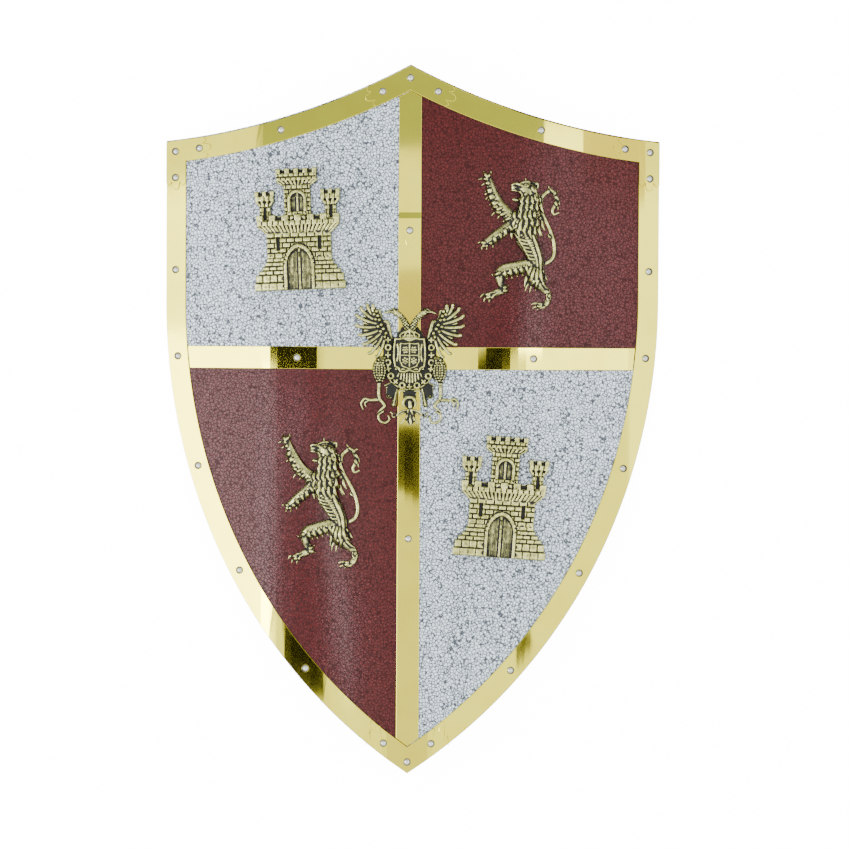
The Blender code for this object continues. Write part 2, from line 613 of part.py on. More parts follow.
# Castle: half breadths, then heights above its foot, in hundredths of its height
CASTLE_BASE_HALF = 38.5
CASTLE_WALL_HALF = 27.4
CASTLE_PARAPET_HALF = 34.9
KEEP_HALF = 11.5
KEEP_CORBEL_HALF = 14.4
KEEP_PARAPET_HALF = 17.2
TURRET_HALF = 5.0
TURRET_PARAPET_HALF = 8.2
TURRET_ACROSS = 27.6
DOOR_HALF = 9.8
DOOR_FRAME_HALF = 13.0
WINDOW_HALF = 5.0
WINDOW_FRAME_HALF = 8.5
SLIT_HALF = 1.3
SLIT_ACROSS = 17.4
BATTER_GROWTH = (7.0, 3.6, 1.2)
FIRST_COURSE = 6.5
PLINTH_TOP = 13.0
BATTER_STEP = 4.6
WALL_TOP = 47.3
CORBEL_TOP = 53.0
WALK_TOP = 57.6
MERLON_TOP = 62.0
KEEP_WALL_TOP = 86.2
KEEP_CORBEL_TOP = 89.7
KEEP_WALK_TOP = 96.1
KEEP_TOP = 100.0
TURRET_WALL_TOP = 72.4
TURRET_WALK_TOP = 78.4
TURRET_TOP = 81.9
DOOR_SPRING = 20.0
WINDOW_SPRING = 74.0
WINDOW_SILL = 64.5
BITE = 0.1                    # by which blocks overlap, so that they join


def castle_blocks():
    """Raised blocks as left, right, low, high and front height."""
    base, wall, parapet = CASTLE_BASE_HALF, CASTLE_WALL_HALF, CASTLE_PARAPET_HALF
    blocks = [(-base, base, 0, FIRST_COURSE, 4.6),
              (-base + 1.5, base - 1.5, FIRST_COURSE - BITE, PLINTH_TOP, 4.4)]
    for step, grown in enumerate(BATTER_GROWTH):
        low = PLINTH_TOP + BATTER_STEP * step - BITE
        blocks.append((-wall - grown, wall + grown, low, low + BATTER_STEP + BITE, 4.1 - 0.15 * step))
    blocks += [(-wall, wall, PLINTH_TOP, WALL_TOP, 3.6),
               (-wall - 3.6, wall + 3.6, WALL_TOP - BITE, CORBEL_TOP, 4.4),
               (-parapet, parapet, CORBEL_TOP - BITE, WALK_TOP, 5.2)]
    blocks += merlons(-parapet, parapet, WALK_TOP - BITE, MERLON_TOP, 7, 5.1)
    blocks += [(-KEEP_HALF, KEEP_HALF, WALK_TOP - 2 * BITE, KEEP_WALL_TOP, 4.2),
               (-KEEP_CORBEL_HALF, KEEP_CORBEL_HALF, KEEP_WALL_TOP - BITE, KEEP_CORBEL_TOP, 4.7),
               (-KEEP_PARAPET_HALF, KEEP_PARAPET_HALF, KEEP_CORBEL_TOP - BITE, KEEP_WALK_TOP, 5.3)]
    blocks += merlons(-KEEP_PARAPET_HALF, KEEP_PARAPET_HALF, KEEP_WALK_TOP - BITE, KEEP_TOP, 5, 5.2)
    for middle in (-TURRET_ACROSS, TURRET_ACROSS):
        left, right = middle - TURRET_PARAPET_HALF, middle + TURRET_PARAPET_HALF
        blocks += [(middle - TURRET_HALF, middle + TURRET_HALF, WALK_TOP - 3 * BITE, TURRET_WALL_TOP, 3.9),
                   (left, right, TURRET_WALL_TOP - BITE, TURRET_WALK_TOP, 4.8)]
        blocks += merlons(left, right, TURRET_WALK_TOP - BITE, TURRET_TOP, 3, 4.7)
    blocks.append((-DOOR_FRAME_HALF, DOOR_FRAME_HALF, 0, DOOR_SPRING, 5.0))
    return blocks


def merlons(left, right, low, high, count, front):
    width = (right - left) / (2 * count - 1)
    return [(left + 2 * number * width, left + (2 * number + 1) * width, low, high, front)
            for number in range(count)]


def castle_recesses():
    """Slits, window and door as left, right, low, high and floor height."""
    recesses = [(-DOOR_HALF, DOOR_HALF, 0.6, DOOR_SPRING, 2.6),
                (-WINDOW_HALF, WINDOW_HALF, WINDOW_SILL, WINDOW_SPRING, 2.6)]
    for middle in (-SLIT_ACROSS, SLIT_ACROSS):
        recesses.append((middle - SLIT_HALF, middle + SLIT_HALF, 33.0, 44.0, 1.6))
    for middle in (-TURRET_ACROSS, TURRET_ACROSS):
        recesses.append((middle - SLIT_HALF, middle + SLIT_HALF, 58.5, 68.0, 1.8))
    return recesses


def block_matrix(unit, left, right, low, high, floor, front):
    middle = Vector(((left + right) / 2, (low + high) / 2 - 50, (floor + front) / 2)) * unit
    size = Vector((right - left, high - low, front - floor)) * unit
    return Matrix.Translation(middle) @ Matrix.Diagonal((*size, 1))


def arch_matrix(unit, half, height, floor, front):
    return (Matrix.Translation(Vector((0, height - 50, (floor + front) / 2)) * unit)
            @ Matrix.Diagonal((half * unit, half * unit, (front - floor) * unit, 1)))


def castle_relief():
    unit = CASTLE_HEIGHT / 100
    solid = bmesh.new()
    bmesh.ops.create_cube(solid, size=1.0, matrix=block_matrix(unit, -20, 20, 1, 56, 0, 3.3))
    pieces = []
    for left, right, low, high, front in castle_blocks():
        bm = bmesh.new()
        bmesh.ops.create_cube(bm, size=1.0, matrix=block_matrix(unit, left, right, low, high, 0, front))
        pieces.append((bm, "UNION"))
    for half, height, front, operation in ((DOOR_FRAME_HALF, DOOR_SPRING, 5.0, "UNION"),
                                           (WINDOW_FRAME_HALF, WINDOW_SPRING, 4.8, "UNION"),
                                           (DOOR_HALF, DOOR_SPRING, 2.6, "DIFFERENCE"),
                                           (WINDOW_HALF, WINDOW_SPRING, 2.6, "DIFFERENCE")):
        bm = bmesh.new()
        floor = 0 if operation == "UNION" else front
        top = front if operation == "UNION" else 9
        bmesh.ops.create_cone(bm, cap_ends=True, segments=12, radius1=1, radius2=1, depth=1,
                              matrix=arch_matrix(unit, half, height, floor, top))
        pieces.append((bm, operation))
    for left, right, low, high, floor in castle_recesses():
        bm = bmesh.new()
        bmesh.ops.create_cube(bm, size=1.0, matrix=block_matrix(unit, left, right, low, high, floor, 9))
        pieces.append((bm, "DIFFERENCE"))
    for bm, operation in pieces:
        solid = combined(plain_object(solid), plain_object(bm), operation)
    bmesh.ops.dissolve_limit(solid, angle_limit=radians(1), verts=solid.verts, edges=solid.edges)
    bmesh.ops.triangulate(solid, faces=solid.faces)
    return solid


def place_figure(name, relief, across, middle, turn, base, finish_material, collection):
    """Turn a flat relief, set it on the layout and bend it onto the shield."""
    bm = relief.copy()
    bm.transform(Matrix.Translation((across, middle - MIDDLE, base)) @ Matrix.Rotation(turn, 4, "Z"))
    bend_mesh(bm)
    finish(name, bm, finish_material, collection)


def build_sheet(paint, collection, rivets):
    bm = flat_plate(heater_outline(0, 0), rivets, -SHEET_THICKNESS, SHEET_THICKNESS)
    bend_mesh(bm)
    finish("sheet", bm, paint, collection)


def build_strip(name, outline, base, rivets, brass, collection):
    bm = flat_plate(outline, rivets, base, STRIP_THICKNESS)
    if name == "apex_strip":
        joggle(bm)
    bend_mesh(bm)
    finish(name, bm, brass, collection)


def joggle(bm):
    """Step the lower end of the apex strip up over the strip below it."""
    step_end = OVERLAP_END_HEIGHT - MIDDLE + OVERLAP_LENGTH + PASS_GAP
    step_start = step_end + JOGGLE_LENGTH
    for height in (step_end, step_start):
        geometry = bm.verts[:] + bm.edges[:] + bm.faces[:]
        bmesh.ops.bisect_plane(bm, geom=geometry, dist=1e-6, plane_co=(0, height, 0), plane_no=(0, 1, 0))
    for vert in bm.verts:
        if vert.co.y < step_end + 1e-5:
            vert.co.z += PLATE_BASE - STRIP_BASE


def main():
    clear_scene()
    pieces = bpy.data.collections.new("decorative_shield")
    bpy.context.scene.collection.children.link(pieces)
    paint = material("paint", (0.35, 0.10, 0.11), 0.35, 0.0)
    brass = material("brass", (0.86, 0.74, 0.42), 0.15, 1.0)
    nickel = material("nickel", (0.75, 0.75, 0.74), 0.25, 1.0)
    cast_brass = material("cast_brass", (0.55, 0.50, 0.32), 0.40, 1.0)

    rivets = [place for place, raised in border_rivets() + cross_rivets()]
    build_sheet(paint, pieces, rivets)
    strips = {
        "top_border": (top_strip_outline(), STRIP_BASE),
        "side_border": (side_strip_outline(), STRIP_BASE),
        "corner_plate": (corner_plate_outline(), PLATE_BASE),
    }
    for name, (outline, base) in strips.items():
        build_strip(f"{name}_right", outline, base, rivets, brass, pieces)
        build_strip(f"{name}_left", mirrored(outline), base, rivets, brass, pieces)
    build_strip("apex_plate", apex_plate_outline(), PLATE_BASE, rivets, brass, pieces)
    build_strip("tip_plate", tip_plate_outline(), PLATE_BASE, rivets, brass, pieces)
    build_strip("crossbar", crossbar_outline(), STRIP_BASE, rivets, brass, pieces)
    build_strip("apex_strip", apex_strip_outline(), STRIP_BASE, rivets, brass, pieces)
    build_strip("upper_strip", upper_strip_outline(), STRIP_BASE, rivets, brass, pieces)
    build_strip("lower_strip", lower_strip_outline(), STRIP_BASE, rivets, brass, pieces)
    place_rivets(nickel, pieces)

    castle = castle_relief()
    place_figure("castle_upper", castle, UPPER_CASTLE_ACROSS, UPPER_CASTLE_MIDDLE, UPPER_CASTLE_TURN,
                 GAP, cast_brass, pieces)
    place_figure("castle_lower", castle, LOWER_CASTLE_ACROSS, LOWER_CASTLE_MIDDLE, LOWER_CASTLE_TURN,
                 GAP, cast_brass, pieces)
    lion = lion_relief()
    place_figure("lion_upper", lion, UPPER_LION_ACROSS, UPPER_LION_MIDDLE, 0, GAP, cast_brass, pieces)
    place_figure("lion_lower", lion, LOWER_LION_ACROSS, LOWER_LION_MIDDLE, LOWER_LION_TURN,
                 GAP, cast_brass, pieces)
    place_figure("eagle", eagle_relief(), EAGLE_ACROSS, EAGLE_MIDDLE, 0, STRIP_TOP + GAP, cast_brass, pieces)


main()
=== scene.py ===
"""Decorative heater shield, lying face up on a pale studio floor."""

from math import asin, atan2, cos, pi, radians, sin, sqrt

import bmesh
import bpy
import numpy as np
from bpy.props import FloatProperty, FloatVectorProperty, PointerProperty
from mathutils import Matrix, Vector


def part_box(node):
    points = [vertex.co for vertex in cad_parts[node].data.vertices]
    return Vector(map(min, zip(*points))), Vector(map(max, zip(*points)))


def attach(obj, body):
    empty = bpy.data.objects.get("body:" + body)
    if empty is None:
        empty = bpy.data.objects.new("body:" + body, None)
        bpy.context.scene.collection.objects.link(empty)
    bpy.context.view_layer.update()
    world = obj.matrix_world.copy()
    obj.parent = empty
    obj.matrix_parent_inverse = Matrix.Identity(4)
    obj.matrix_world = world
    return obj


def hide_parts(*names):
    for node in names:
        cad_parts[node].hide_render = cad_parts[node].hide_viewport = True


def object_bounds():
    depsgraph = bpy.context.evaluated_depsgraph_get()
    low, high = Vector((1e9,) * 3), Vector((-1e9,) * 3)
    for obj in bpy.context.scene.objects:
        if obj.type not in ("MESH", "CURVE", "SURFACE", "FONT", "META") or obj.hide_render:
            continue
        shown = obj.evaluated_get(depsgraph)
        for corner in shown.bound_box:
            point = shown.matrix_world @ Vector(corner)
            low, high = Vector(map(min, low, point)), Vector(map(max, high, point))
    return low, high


bl_info = {
    "name": "Decorative Shield",
    "version": (1, 0, 0),
    "blender": (4, 5, 0),
    "location": "View3D > Sidebar > Shield",
    "description": "Builds a riveted heater shield with cast figures on a studio floor",
    "category": "Object",
}

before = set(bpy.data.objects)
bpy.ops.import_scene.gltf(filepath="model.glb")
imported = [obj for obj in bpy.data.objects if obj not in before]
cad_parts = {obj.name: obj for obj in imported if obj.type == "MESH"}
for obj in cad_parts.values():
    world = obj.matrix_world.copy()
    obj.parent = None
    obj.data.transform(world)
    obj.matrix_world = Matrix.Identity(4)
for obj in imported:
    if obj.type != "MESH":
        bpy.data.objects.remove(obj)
SHIELD_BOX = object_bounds()
MIDDLE = (SHIELD_BOX[1] - SHIELD_BOX[0]).y / 2

# Sizes of the sheet and its strips, measured along the painted face
SHOULDER_HEIGHT = 0.6274
TOP_ARC_RADIUS = 0.633
SIDE_ARC_RADIUS = 0.560
SHEET_THICKNESS = 0.0012
CROSSBAR_HEIGHT = 0.4110
TOP_MARGIN = 0.0012
SIDE_MARGIN = 0.0003
PLATE_LEG = 0.0490
LOBE_LENGTH = 0.0080
CUSP_LENGTH = 0.0040
OVERLAP_END_HEIGHT = 0.5200
OVERLAP_LENGTH = 0.0280
JOGGLE_LENGTH = 0.0060
STRIP_THICKNESS = 0.0007
GAP = 0.0003
PASS_GAP = 0.0006
STRIP_TOP = GAP + STRIP_THICKNESS
PLATE_BASE = STRIP_TOP + GAP
PLATE_TOP = PLATE_BASE + STRIP_THICKNESS
SHEET_BEVEL = 0.0003
STRIP_BEVEL = 0.0004
SLICE = 0.008
SHARP_EDGE = radians(30)
TOP_STEPS = 28
SIDE_STEPS = 64
PLATE_STEPS = 8

# Rivets
SHANK_RADIUS = 0.0017
HEAD_RADIUS = 0.0038
HEAD_HEIGHT = 0.0024
TAIL_RADIUS = 0.0030
TAIL_HEIGHT = 0.0016
RIVET_STEPS = 24
DOME_STEPS = 7
# A rivet whose box is deeper than this sits on a corner plate
DEEP_RIVET = 0.00745

# Cast figures: across, middle above the tip, turn
UPPER_CASTLE = (-0.1105, 0.5381, radians(2.3))
LOWER_CASTLE = (0.0932, 0.2745, radians(-4.0))
UPPER_LION = (0.1070, 0.5275, radians(0.0))
LOWER_LION = (-0.0870, 0.2695, radians(4.0))
EAGLE_PLACE = (0.0006, 0.4047, 0.0)
CASTLE_HEIGHT = 0.1200
LION_HEIGHT = 0.1390
EAGLE_HEIGHT = 0.1216

# The camera, fitted to the shield's corners and rivets
CAMERA_DISTANCE = 2.80
CAMERA_YAW = radians(2.48)
CAMERA_PITCH = radians(1.61)
CAMERA_ROLL = radians(-0.31)
FOCAL_PIXELS = 2838.8
FRAME_PIXELS = 850
SENSOR_WIDTH = 36.0
AIM_PIXEL = (408.9, 420.1)
FLOOR_GLOW = 14.0
FLOOR_DROP = 0.0004


class ShieldSizes(bpy.types.PropertyGroup):
    half_width: FloatProperty(
        name="Half width", description="Half the sheet's width along its face",
        default=0.2512, subtype="DISTANCE", unit="LENGTH")
    bow_radius: FloatProperty(
        name="Bow radius", description="Radius of the sheet's bow at its painted face",
        default=0.730, subtype="DISTANCE", unit="LENGTH")
    border_width: FloatProperty(
        name="Border width", description="Width of the border's strips",
        default=0.0216, subtype="DISTANCE", unit="LENGTH")
    cross_width: FloatProperty(
        name="Cross width", description="Width of the cross's strips",
        default=0.0222, subtype="DISTANCE", unit="LENGTH")
    crackle: FloatProperty(
        name="Crackle", description="Breadth of one cell of the crackle paint",
        default=0.0030, subtype="DISTANCE", unit="LENGTH")


class ShieldColours(bpy.types.PropertyGroup):
    white_paint: FloatVectorProperty(
        name="White paint", description="Cells of the white quarters", subtype="COLOR",
        default=(0.78, 0.90, 1.0))
    white_vein: FloatVectorProperty(
        name="White veins", description="Cracks of the white quarters", subtype="COLOR",
        default=(0.012, 0.016, 0.024))
    red_paint: FloatVectorProperty(
        name="Red paint", description="Cells of the red quarters", subtype="COLOR",
        default=(0.050, 0.0022, 0.003))
    red_glint: FloatVectorProperty(
        name="Red glints", description="Lighter grains of the red quarters", subtype="COLOR",
        default=(0.110, 0.008, 0.010))
    red_vein: FloatVectorProperty(
        name="Red veins", description="Cracks of the red quarters", subtype="COLOR",
        default=(0.014, 0.0006, 0.0008))
    brass: FloatVectorProperty(
        name="Brass", description="Polished strips", subtype="COLOR",
        default=(0.87, 0.79, 0.09))
    nickel: FloatVectorProperty(
        name="Nickel", description="Rivets", subtype="COLOR", default=(0.84, 0.85, 0.85))
    cast_bright: FloatVectorProperty(
        name="Cast brass", description="Rubbed high parts of the castings", subtype="COLOR",
        default=(0.76, 0.76, 0.31))
    # Colour of the patina in hollows, also used as painted shade on steep sides and next to the plate
    cast_patina_and_shade: FloatVectorProperty(
        name="Patina", description="Dark hollows of the castings", subtype="COLOR",
        default=(0.010, 0.010, 0.008))
    steel: FloatVectorProperty(
        name="Steel", description="Bare back and rim of the sheet", subtype="COLOR",
        default=(0.30, 0.31, 0.32))
    floor: FloatVectorProperty(
        name="Floor", description="Studio floor", subtype="COLOR", default=(0.95, 0.95, 0.95))


def sizes():
    return bpy.context.scene.shield_sizes


def colours():
    return bpy.context.scene.shield_colours


# Materials

class Level:
    """A number on its way through a finish's nodes."""

    def __init__(self, finish, socket):
        self.finish = finish
        self.socket = socket

    def join(self, operation, *values):
        node = self.finish.node("ShaderNodeMath", {"operation": operation}, *values)
        return Level(self.finish, node.outputs[0])

    def __add__(self, other):
        return self.join("ADD", self, other)

    def __sub__(self, other):
        return self.join("SUBTRACT", self, other)

    def __rsub__(self, other):
        return self.join("SUBTRACT", other, self)

    def __mul__(self, other):
        return self.join("MULTIPLY", self, other)

    def __gt__(self, other):
        return self.join("GREATER_THAN", self, other)

    def most(self, other):
        return self.join("MAXIMUM", self, other)

    def within(self, low, high):
        """Rises smoothly from 0 at low to 1 at high."""
        smooth = {"interpolation_type": "SMOOTHSTEP"}
        return self.finish.level(self.finish.node("ShaderNodeMapRange", smooth, self, low, high))

    __radd__ = __add__
    __rmul__ = __mul__


class Finish:
    """A material with one Principled shader, built node by node."""

    def __init__(self, name):
        self.material = bpy.data.materials.new(name)
        self.material.use_nodes = True
        self.tree = self.material.node_tree
        self.shader = self.tree.nodes["Principled BSDF"]

    def node(self, kind, settings=None, *values, **named):
        made = self.tree.nodes.new(kind)
        for key, value in (settings or {}).items():
            setattr(made, key, value)
        for key, value in [*enumerate(values), *named.items()]:
            self.feed(made.inputs[key], value)
        return made

    def feed(self, socket, value):
        """Link a socket or set it; a colour's three numbers are set opaque."""
        if isinstance(value, Level):
            value = value.socket
        if isinstance(value, bpy.types.NodeSocket):
            self.tree.links.new(value, socket)
        elif value is not None:
            socket.default_value = (*value, 1.0) if socket.type == "RGBA" else value

    def level(self, node, output=0):
        return Level(self, node.outputs[output])

    def object_place(self):
        return self.node("ShaderNodeTexCoord").outputs["Object"]

    def noise(self, place, scale, detail=2.0):
        return self.level(self.node("ShaderNodeTexNoise", None, place, Scale=scale, Detail=detail))

    def cells(self, place, scale):
        """Distance to the nearest edge between cells."""
        edges = {"feature": "DISTANCE_TO_EDGE"}
        return self.level(self.node("ShaderNodeTexVoronoi", edges, place, Scale=scale))

    def warped(self, place, scale, amount):
        """The place pushed about by a noise of a given scale."""
        colour = self.node("ShaderNodeTexNoise", None, place, Scale=scale, Detail=2.0).outputs["Color"]
        push = self.vector("SUBTRACT", colour, (0.5, 0.5, 0.5))
        return self.vector("ADD", place, self.vector("SCALE", push, Scale=amount))

    def vector(self, operation, *values, **named):
        return self.node("ShaderNodeVectorMath", {"operation": operation}, *values, **named).outputs[0]

    def blend(self, share, first, second):
        node = self.node("ShaderNodeMix", {"data_type": "RGBA"}, share)
        self.feed(node.inputs[6], first)
        self.feed(node.inputs[7], second)
        return node.outputs[2]

    def bump(self, height, distance, strength, under=None):
        return self.node("ShaderNodeBump", None, Strength=strength, Distance=distance, Height=height,
                         Normal=under).outputs[0]

    def done(self, **sockets):
        """Feed the shader's sockets, named with _ for each space, and give the material."""
        for name, value in sockets.items():
            self.feed(self.shader.inputs[name.replace("_", " ")], value)
        return self.material


def toned(colour, *shares):
    """A colour with its red, green and blue each scaled."""
    return [value * share for value, share in zip(colour, shares)]


def crackle_paint():
    """Crackle paint with a low gloss, white and red by quarters."""
    hues = colours()
    finish = Finish("crackle_paint")
    place = finish.object_place()
    axes = finish.node("ShaderNodeSeparateXYZ", None, place)
    across, along = finish.level(axes, 0), finish.level(axes, 1)
    white = across * (along - (CROSSBAR_HEIGHT - MIDDLE)) * -1.0 > 0.0
    bent = finish.warped(place, 420, 0.0016)
    density = 1 / sizes().crackle
    large = finish.cells(bent, density)
    small = finish.cells(bent, density * 1.7)
    veins = 1.0 - large.within(0.04, 0.20)
    threads = 1.0 - small.within(0.02, 0.24)
    crack = veins.most(threads * 0.42)
    grain = finish.noise(place, 800, 2.0)
    greyer = toned(hues.white_paint, 0.80, 0.80, 0.80)
    white_cell = finish.blend(grain.within(0.30, 0.60), greyer, hues.white_paint)
    red_cell = finish.blend(grain.within(0.35, 0.70), hues.red_paint, hues.red_glint)
    cell = finish.blend(white, red_cell, white_cell)
    vein = finish.blend(white, hues.red_vein, hues.white_vein)
    colour = finish.blend(crack * (0.75 + 0.20 * white), cell, vein)
    hammered = finish.bump(crack * -1.0 + grain * 0.5, 0.00008, 0.6)
    return finish.done(Base_Color=colour, Roughness=0.24 + crack * 0.2, Specular_IOR_Level=0.12,
                       Coat_Weight=0.45 - 0.35 * crack, Coat_Roughness=0.14, Normal=hammered)


def polished_brass():
    """Mirror brass with faint handling marks and the slight waves of thin strip."""
    finish = Finish("polished_brass")
    place = finish.object_place()
    waves = finish.noise(place, 9, 1.0)
    marks = finish.noise(place, 620, 3.0)
    clouds = finish.noise(place, 35, 3.0)
    normal = finish.bump(waves, 0.0022, 0.07)
    normal = finish.bump(marks, 0.00002, 0.015, normal)
    deeper = toned(colours().brass, 0.90, 0.84, 0.70)
    colour = finish.blend(clouds.within(0.35, 0.75) * 0.5, colours().brass, deeper)
    return finish.done(Base_Color=colour, Metallic=1.0, Roughness=0.03 + clouds * 0.04, Normal=normal)


def polished_nickel():
    """Bright nickel, a little dented and clouded."""
    finish = Finish("polished_nickel")
    place = finish.object_place()
    dents = finish.noise(place, 700, 2.0)
    tint = finish.blend(finish.noise(place, 90), colours().nickel, (0.62, 0.63, 0.62))
    return finish.done(Base_Color=tint, Metallic=1.0, Roughness=0.30 + 0.12 * dents,
                       Normal=finish.bump(dents, 0.0001, 0.3))


def bare_steel():
    """Rolled steel, dull, with long rolling marks."""
    finish = Finish("bare_steel")
    place = finish.object_place()
    stretched = finish.node("ShaderNodeMapping", None, place, Scale=(1.0, 0.05, 1.0))
    rolling = finish.noise(stretched.outputs[0], 900, 3.0)
    stains = finish.noise(place, 14, 4.0)
    darker = toned(colours().steel, 0.6, 0.6, 0.6)
    colour = finish.blend(stains.within(0.35, 0.7) * 0.7, colours().steel, darker)
    return finish.done(Base_Color=colour, Metallic=1.0, Roughness=0.34 + 0.22 * rolling,
                       Normal=finish.bump(rolling, 0.00002, 0.5))


def antique_brass():
    """Rubbed cast brass, black in the hollows, where it has patina, and on steep sides and next to the
    plate, where shade is painted.
    """
    finish = Finish("antique_brass")
    place = finish.object_place()
    patina_and_shade_level = finish.level(finish.node("ShaderNodeAttribute", {"attribute_name": "patina_and_shade"}), 2)
    pits = finish.noise(place, 1500, 3.0)
    rubbed = finish.noise(place, 240, 2.0)
    # dark: real patina in hollows plus painted shade on steep sides and next to the plate, broken up by
    # rubbed and pitted noise
    dark = (patina_and_shade_level + (rubbed - 0.5) * 0.30 + (pits - 0.5) * 0.25).within(0.10, 0.44)
    warm = toned(colours().cast_bright, 0.42, 0.42, 0.30)
    bright = finish.blend(rubbed.within(0.35, 0.70) * 0.8, colours().cast_bright, warm)
    colour = finish.blend(dark, bright, colours().cast_patina_and_shade)
    return finish.done(Base_Color=colour, Metallic=1.0 - 0.55 * dark, Roughness=0.26 + 0.30 * dark,
                       Normal=finish.bump(pits, 0.00008, 0.35))


def studio_floor():
    """Pale floor with a glow of its own, so that it has no shadowed corners."""
    finish = Finish("studio_floor")
    tone = finish.noise(finish.object_place(), 3, 2.0)
    pale = finish.blend(tone * 0.15, colours().floor, (0.90, 0.90, 0.90))
    return finish.done(Base_Color=pale, Roughness=0.9, Emission_Color=colours().floor,
                       Emission_Strength=FLOOR_GLOW)


def card_cloth(name, tint, light):
    finish = Finish(name)
    return finish.done(Base_Color=(0.0, 0.0, 0.0), Roughness=1.0, Emission_Color=tint,
                       Emission_Strength=light)


# The flat layout and its bow

def edge_drop():
    """How far the axis of the bow lies below the floor that the side edges rest on."""
    radius = sizes().bow_radius
    return (radius - SHEET_THICKNESS) * cos(sizes().half_width / radius)


def bend(across, along, height):
    """Place a point of the flat layout on the bowed shield."""
    turn = across / sizes().bow_radius
    reach = sizes().bow_radius + height
    return Vector((reach * sin(turn), along, reach * cos(turn) - edge_drop()))


def bisect(bm, point, normal):
    geometry = bm.verts[:] + bm.edges[:] + bm.faces[:]
    bmesh.ops.bisect_plane(bm, geom=geometry, dist=1e-6, plane_co=point, plane_no=normal)


def bend_mesh(bm):
    """Slice the flat mesh across its breadth and bend it."""
    reach = sizes().half_width
    count = round(2 * reach / SLICE)
    for line in range(1, count):
        bisect(bm, (-reach + line * 2 * reach / count, 0, 0), (1, 0, 0))
    for vert in bm.verts:
        vert.co = bend(*vert.co)
    bmesh.ops.recalc_face_normals(bm, faces=bm.faces)
    keep_edges_sharp(bm)


def mesh_of(name, bm):
    mesh = bpy.data.meshes.new(name)
    bm.to_mesh(mesh)
    bm.free()
    return mesh


def finished(name, bm, materials, node):
    """Make a bmesh the finished piece in place of a CAD node."""
    finished_mesh(name, mesh_of(name, bm), materials, node)


def finished_mesh(name, mesh, materials, node):
    """Give a mesh its materials and make it a piece on the body, in place of a CAD node."""
    for material in materials:
        mesh.materials.append(material)
    mesh.update()
    piece = bpy.data.objects.new(name, mesh)
    bpy.context.scene.collection.objects.link(piece)
    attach(piece, "root")
    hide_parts(node)


def keep_edges_sharp(bm):
    for edge in bm.edges:
        edge.smooth = edge.calc_face_angle(0) < SHARP_EDGE


# The outline, drawn for the right half and mirrored

def top_arc_centre():
    apex = Vector((0, MIDDLE))
    corner = Vector((sizes().half_width, SHOULDER_HEIGHT - MIDDLE))
    chord = corner - apex
    rise = sqrt(TOP_ARC_RADIUS ** 2 - (chord.length / 2) ** 2)
    return (apex + corner) / 2 + Vector((-chord.y, chord.x)).normalized() * rise


def side_arc_centre():
    x = sizes().half_width - SIDE_ARC_RADIUS
    return Vector((x, sqrt(SIDE_ARC_RADIUS ** 2 - x ** 2) - MIDDLE))


def top_point(inset, across):
    centre = top_arc_centre()
    return (across, centre.y - sqrt((TOP_ARC_RADIUS + inset) ** 2 - (across - centre.x) ** 2))


def side_point(inset, along):
    centre = side_arc_centre()
    if along >= centre.y:
        return (sizes().half_width - inset, along)
    return (centre.x + sqrt((SIDE_ARC_RADIUS - inset) ** 2 - (along - centre.y) ** 2), along)


def side_foot(inset, across=0.0):
    """Where the side's arc, set in, comes down to a place beside the centre line."""
    centre = side_arc_centre()
    return (across, centre.y - sqrt((SIDE_ARC_RADIUS - inset) ** 2 - (across - centre.x) ** 2))


def top_run(inset, start, end, steps=TOP_STEPS):
    return [top_point(inset, start + (end - start) * step / steps) for step in range(steps + 1)]


def side_run(inset, start, across=0.0):
    """Side points from a height on the straight side down to the tip."""
    centre = side_arc_centre()
    radius = SIDE_ARC_RADIUS - inset
    last = side_foot(inset, across)
    sweep = asin((last[1] - centre.y) / radius)
    points = [(sizes().half_width - inset, start)]
    for step in range(SIDE_STEPS):
        turn = sweep * step / SIDE_STEPS
        points.append((centre.x + radius * cos(turn), centre.y + radius * sin(turn)))
    return points + [last]


def corner_height(top_inset, side_inset):
    return top_point(top_inset, sizes().half_width - side_inset)[1]


def mirrored(points):
    return [(-x, y) for x, y in reversed(points)]


def heater_outline():
    right = top_run(0, 0, sizes().half_width)[:-1] + side_run(0, corner_height(0, 0))
    return right + mirrored(right)[1:-1]


def insets():
    width = sizes().border_width
    return TOP_MARGIN + width, SIDE_MARGIN + width


def top_strip_outline():
    top_in, side_in = insets()
    reach = sizes().half_width - PASS_GAP
    outer = top_run(TOP_MARGIN, PASS_GAP / 2, reach - SIDE_MARGIN)
    return outer + top_run(top_in, PASS_GAP / 2, reach - side_in)[::-1]


def side_strip_outline():
    top_in, side_in = insets()
    outer = side_run(SIDE_MARGIN, corner_height(TOP_MARGIN, SIDE_MARGIN), PASS_GAP / 2)
    return outer + side_run(side_in, corner_height(top_in, side_in), PASS_GAP / 2)[::-1]


def lobed_end():
    """Scalloped strip end: place across the strip and set-back from the lobe's tip."""
    notch, cusp = LOBE_LENGTH, LOBE_LENGTH - CUSP_LENGTH
    half = [(0.34 * sin(step * pi / 12), 0.55 * notch * (1 - cos(step * pi / 12))) for step in range(7)]
    half += [(0.40, 0.80 * notch), (0.42, notch), (0.46, 0.84 * notch), (0.56, 0.66 * notch),
             (0.70, cusp), (0.76, cusp + 0.10 * CUSP_LENGTH), (0.84, cusp + 0.34 * CUSP_LENGTH),
             (0.92, cusp + 0.54 * CUSP_LENGTH), (1.0, 0.86 * notch)]
    return [(-share, back) for share, back in reversed(half[1:])] + half


def swept_end(centre, radius, first, side, leg):
    """Lobed end of a leg that follows an arc; side is 1 or -1 for the way round."""
    half = sizes().border_width / 2
    points = []
    for share, back in lobed_end():
        turn = first + side * (leg - back) / radius
        reach = radius + share * half
        points.append((centre.x + reach * cos(turn), centre.y + reach * sin(turn)))
    return points


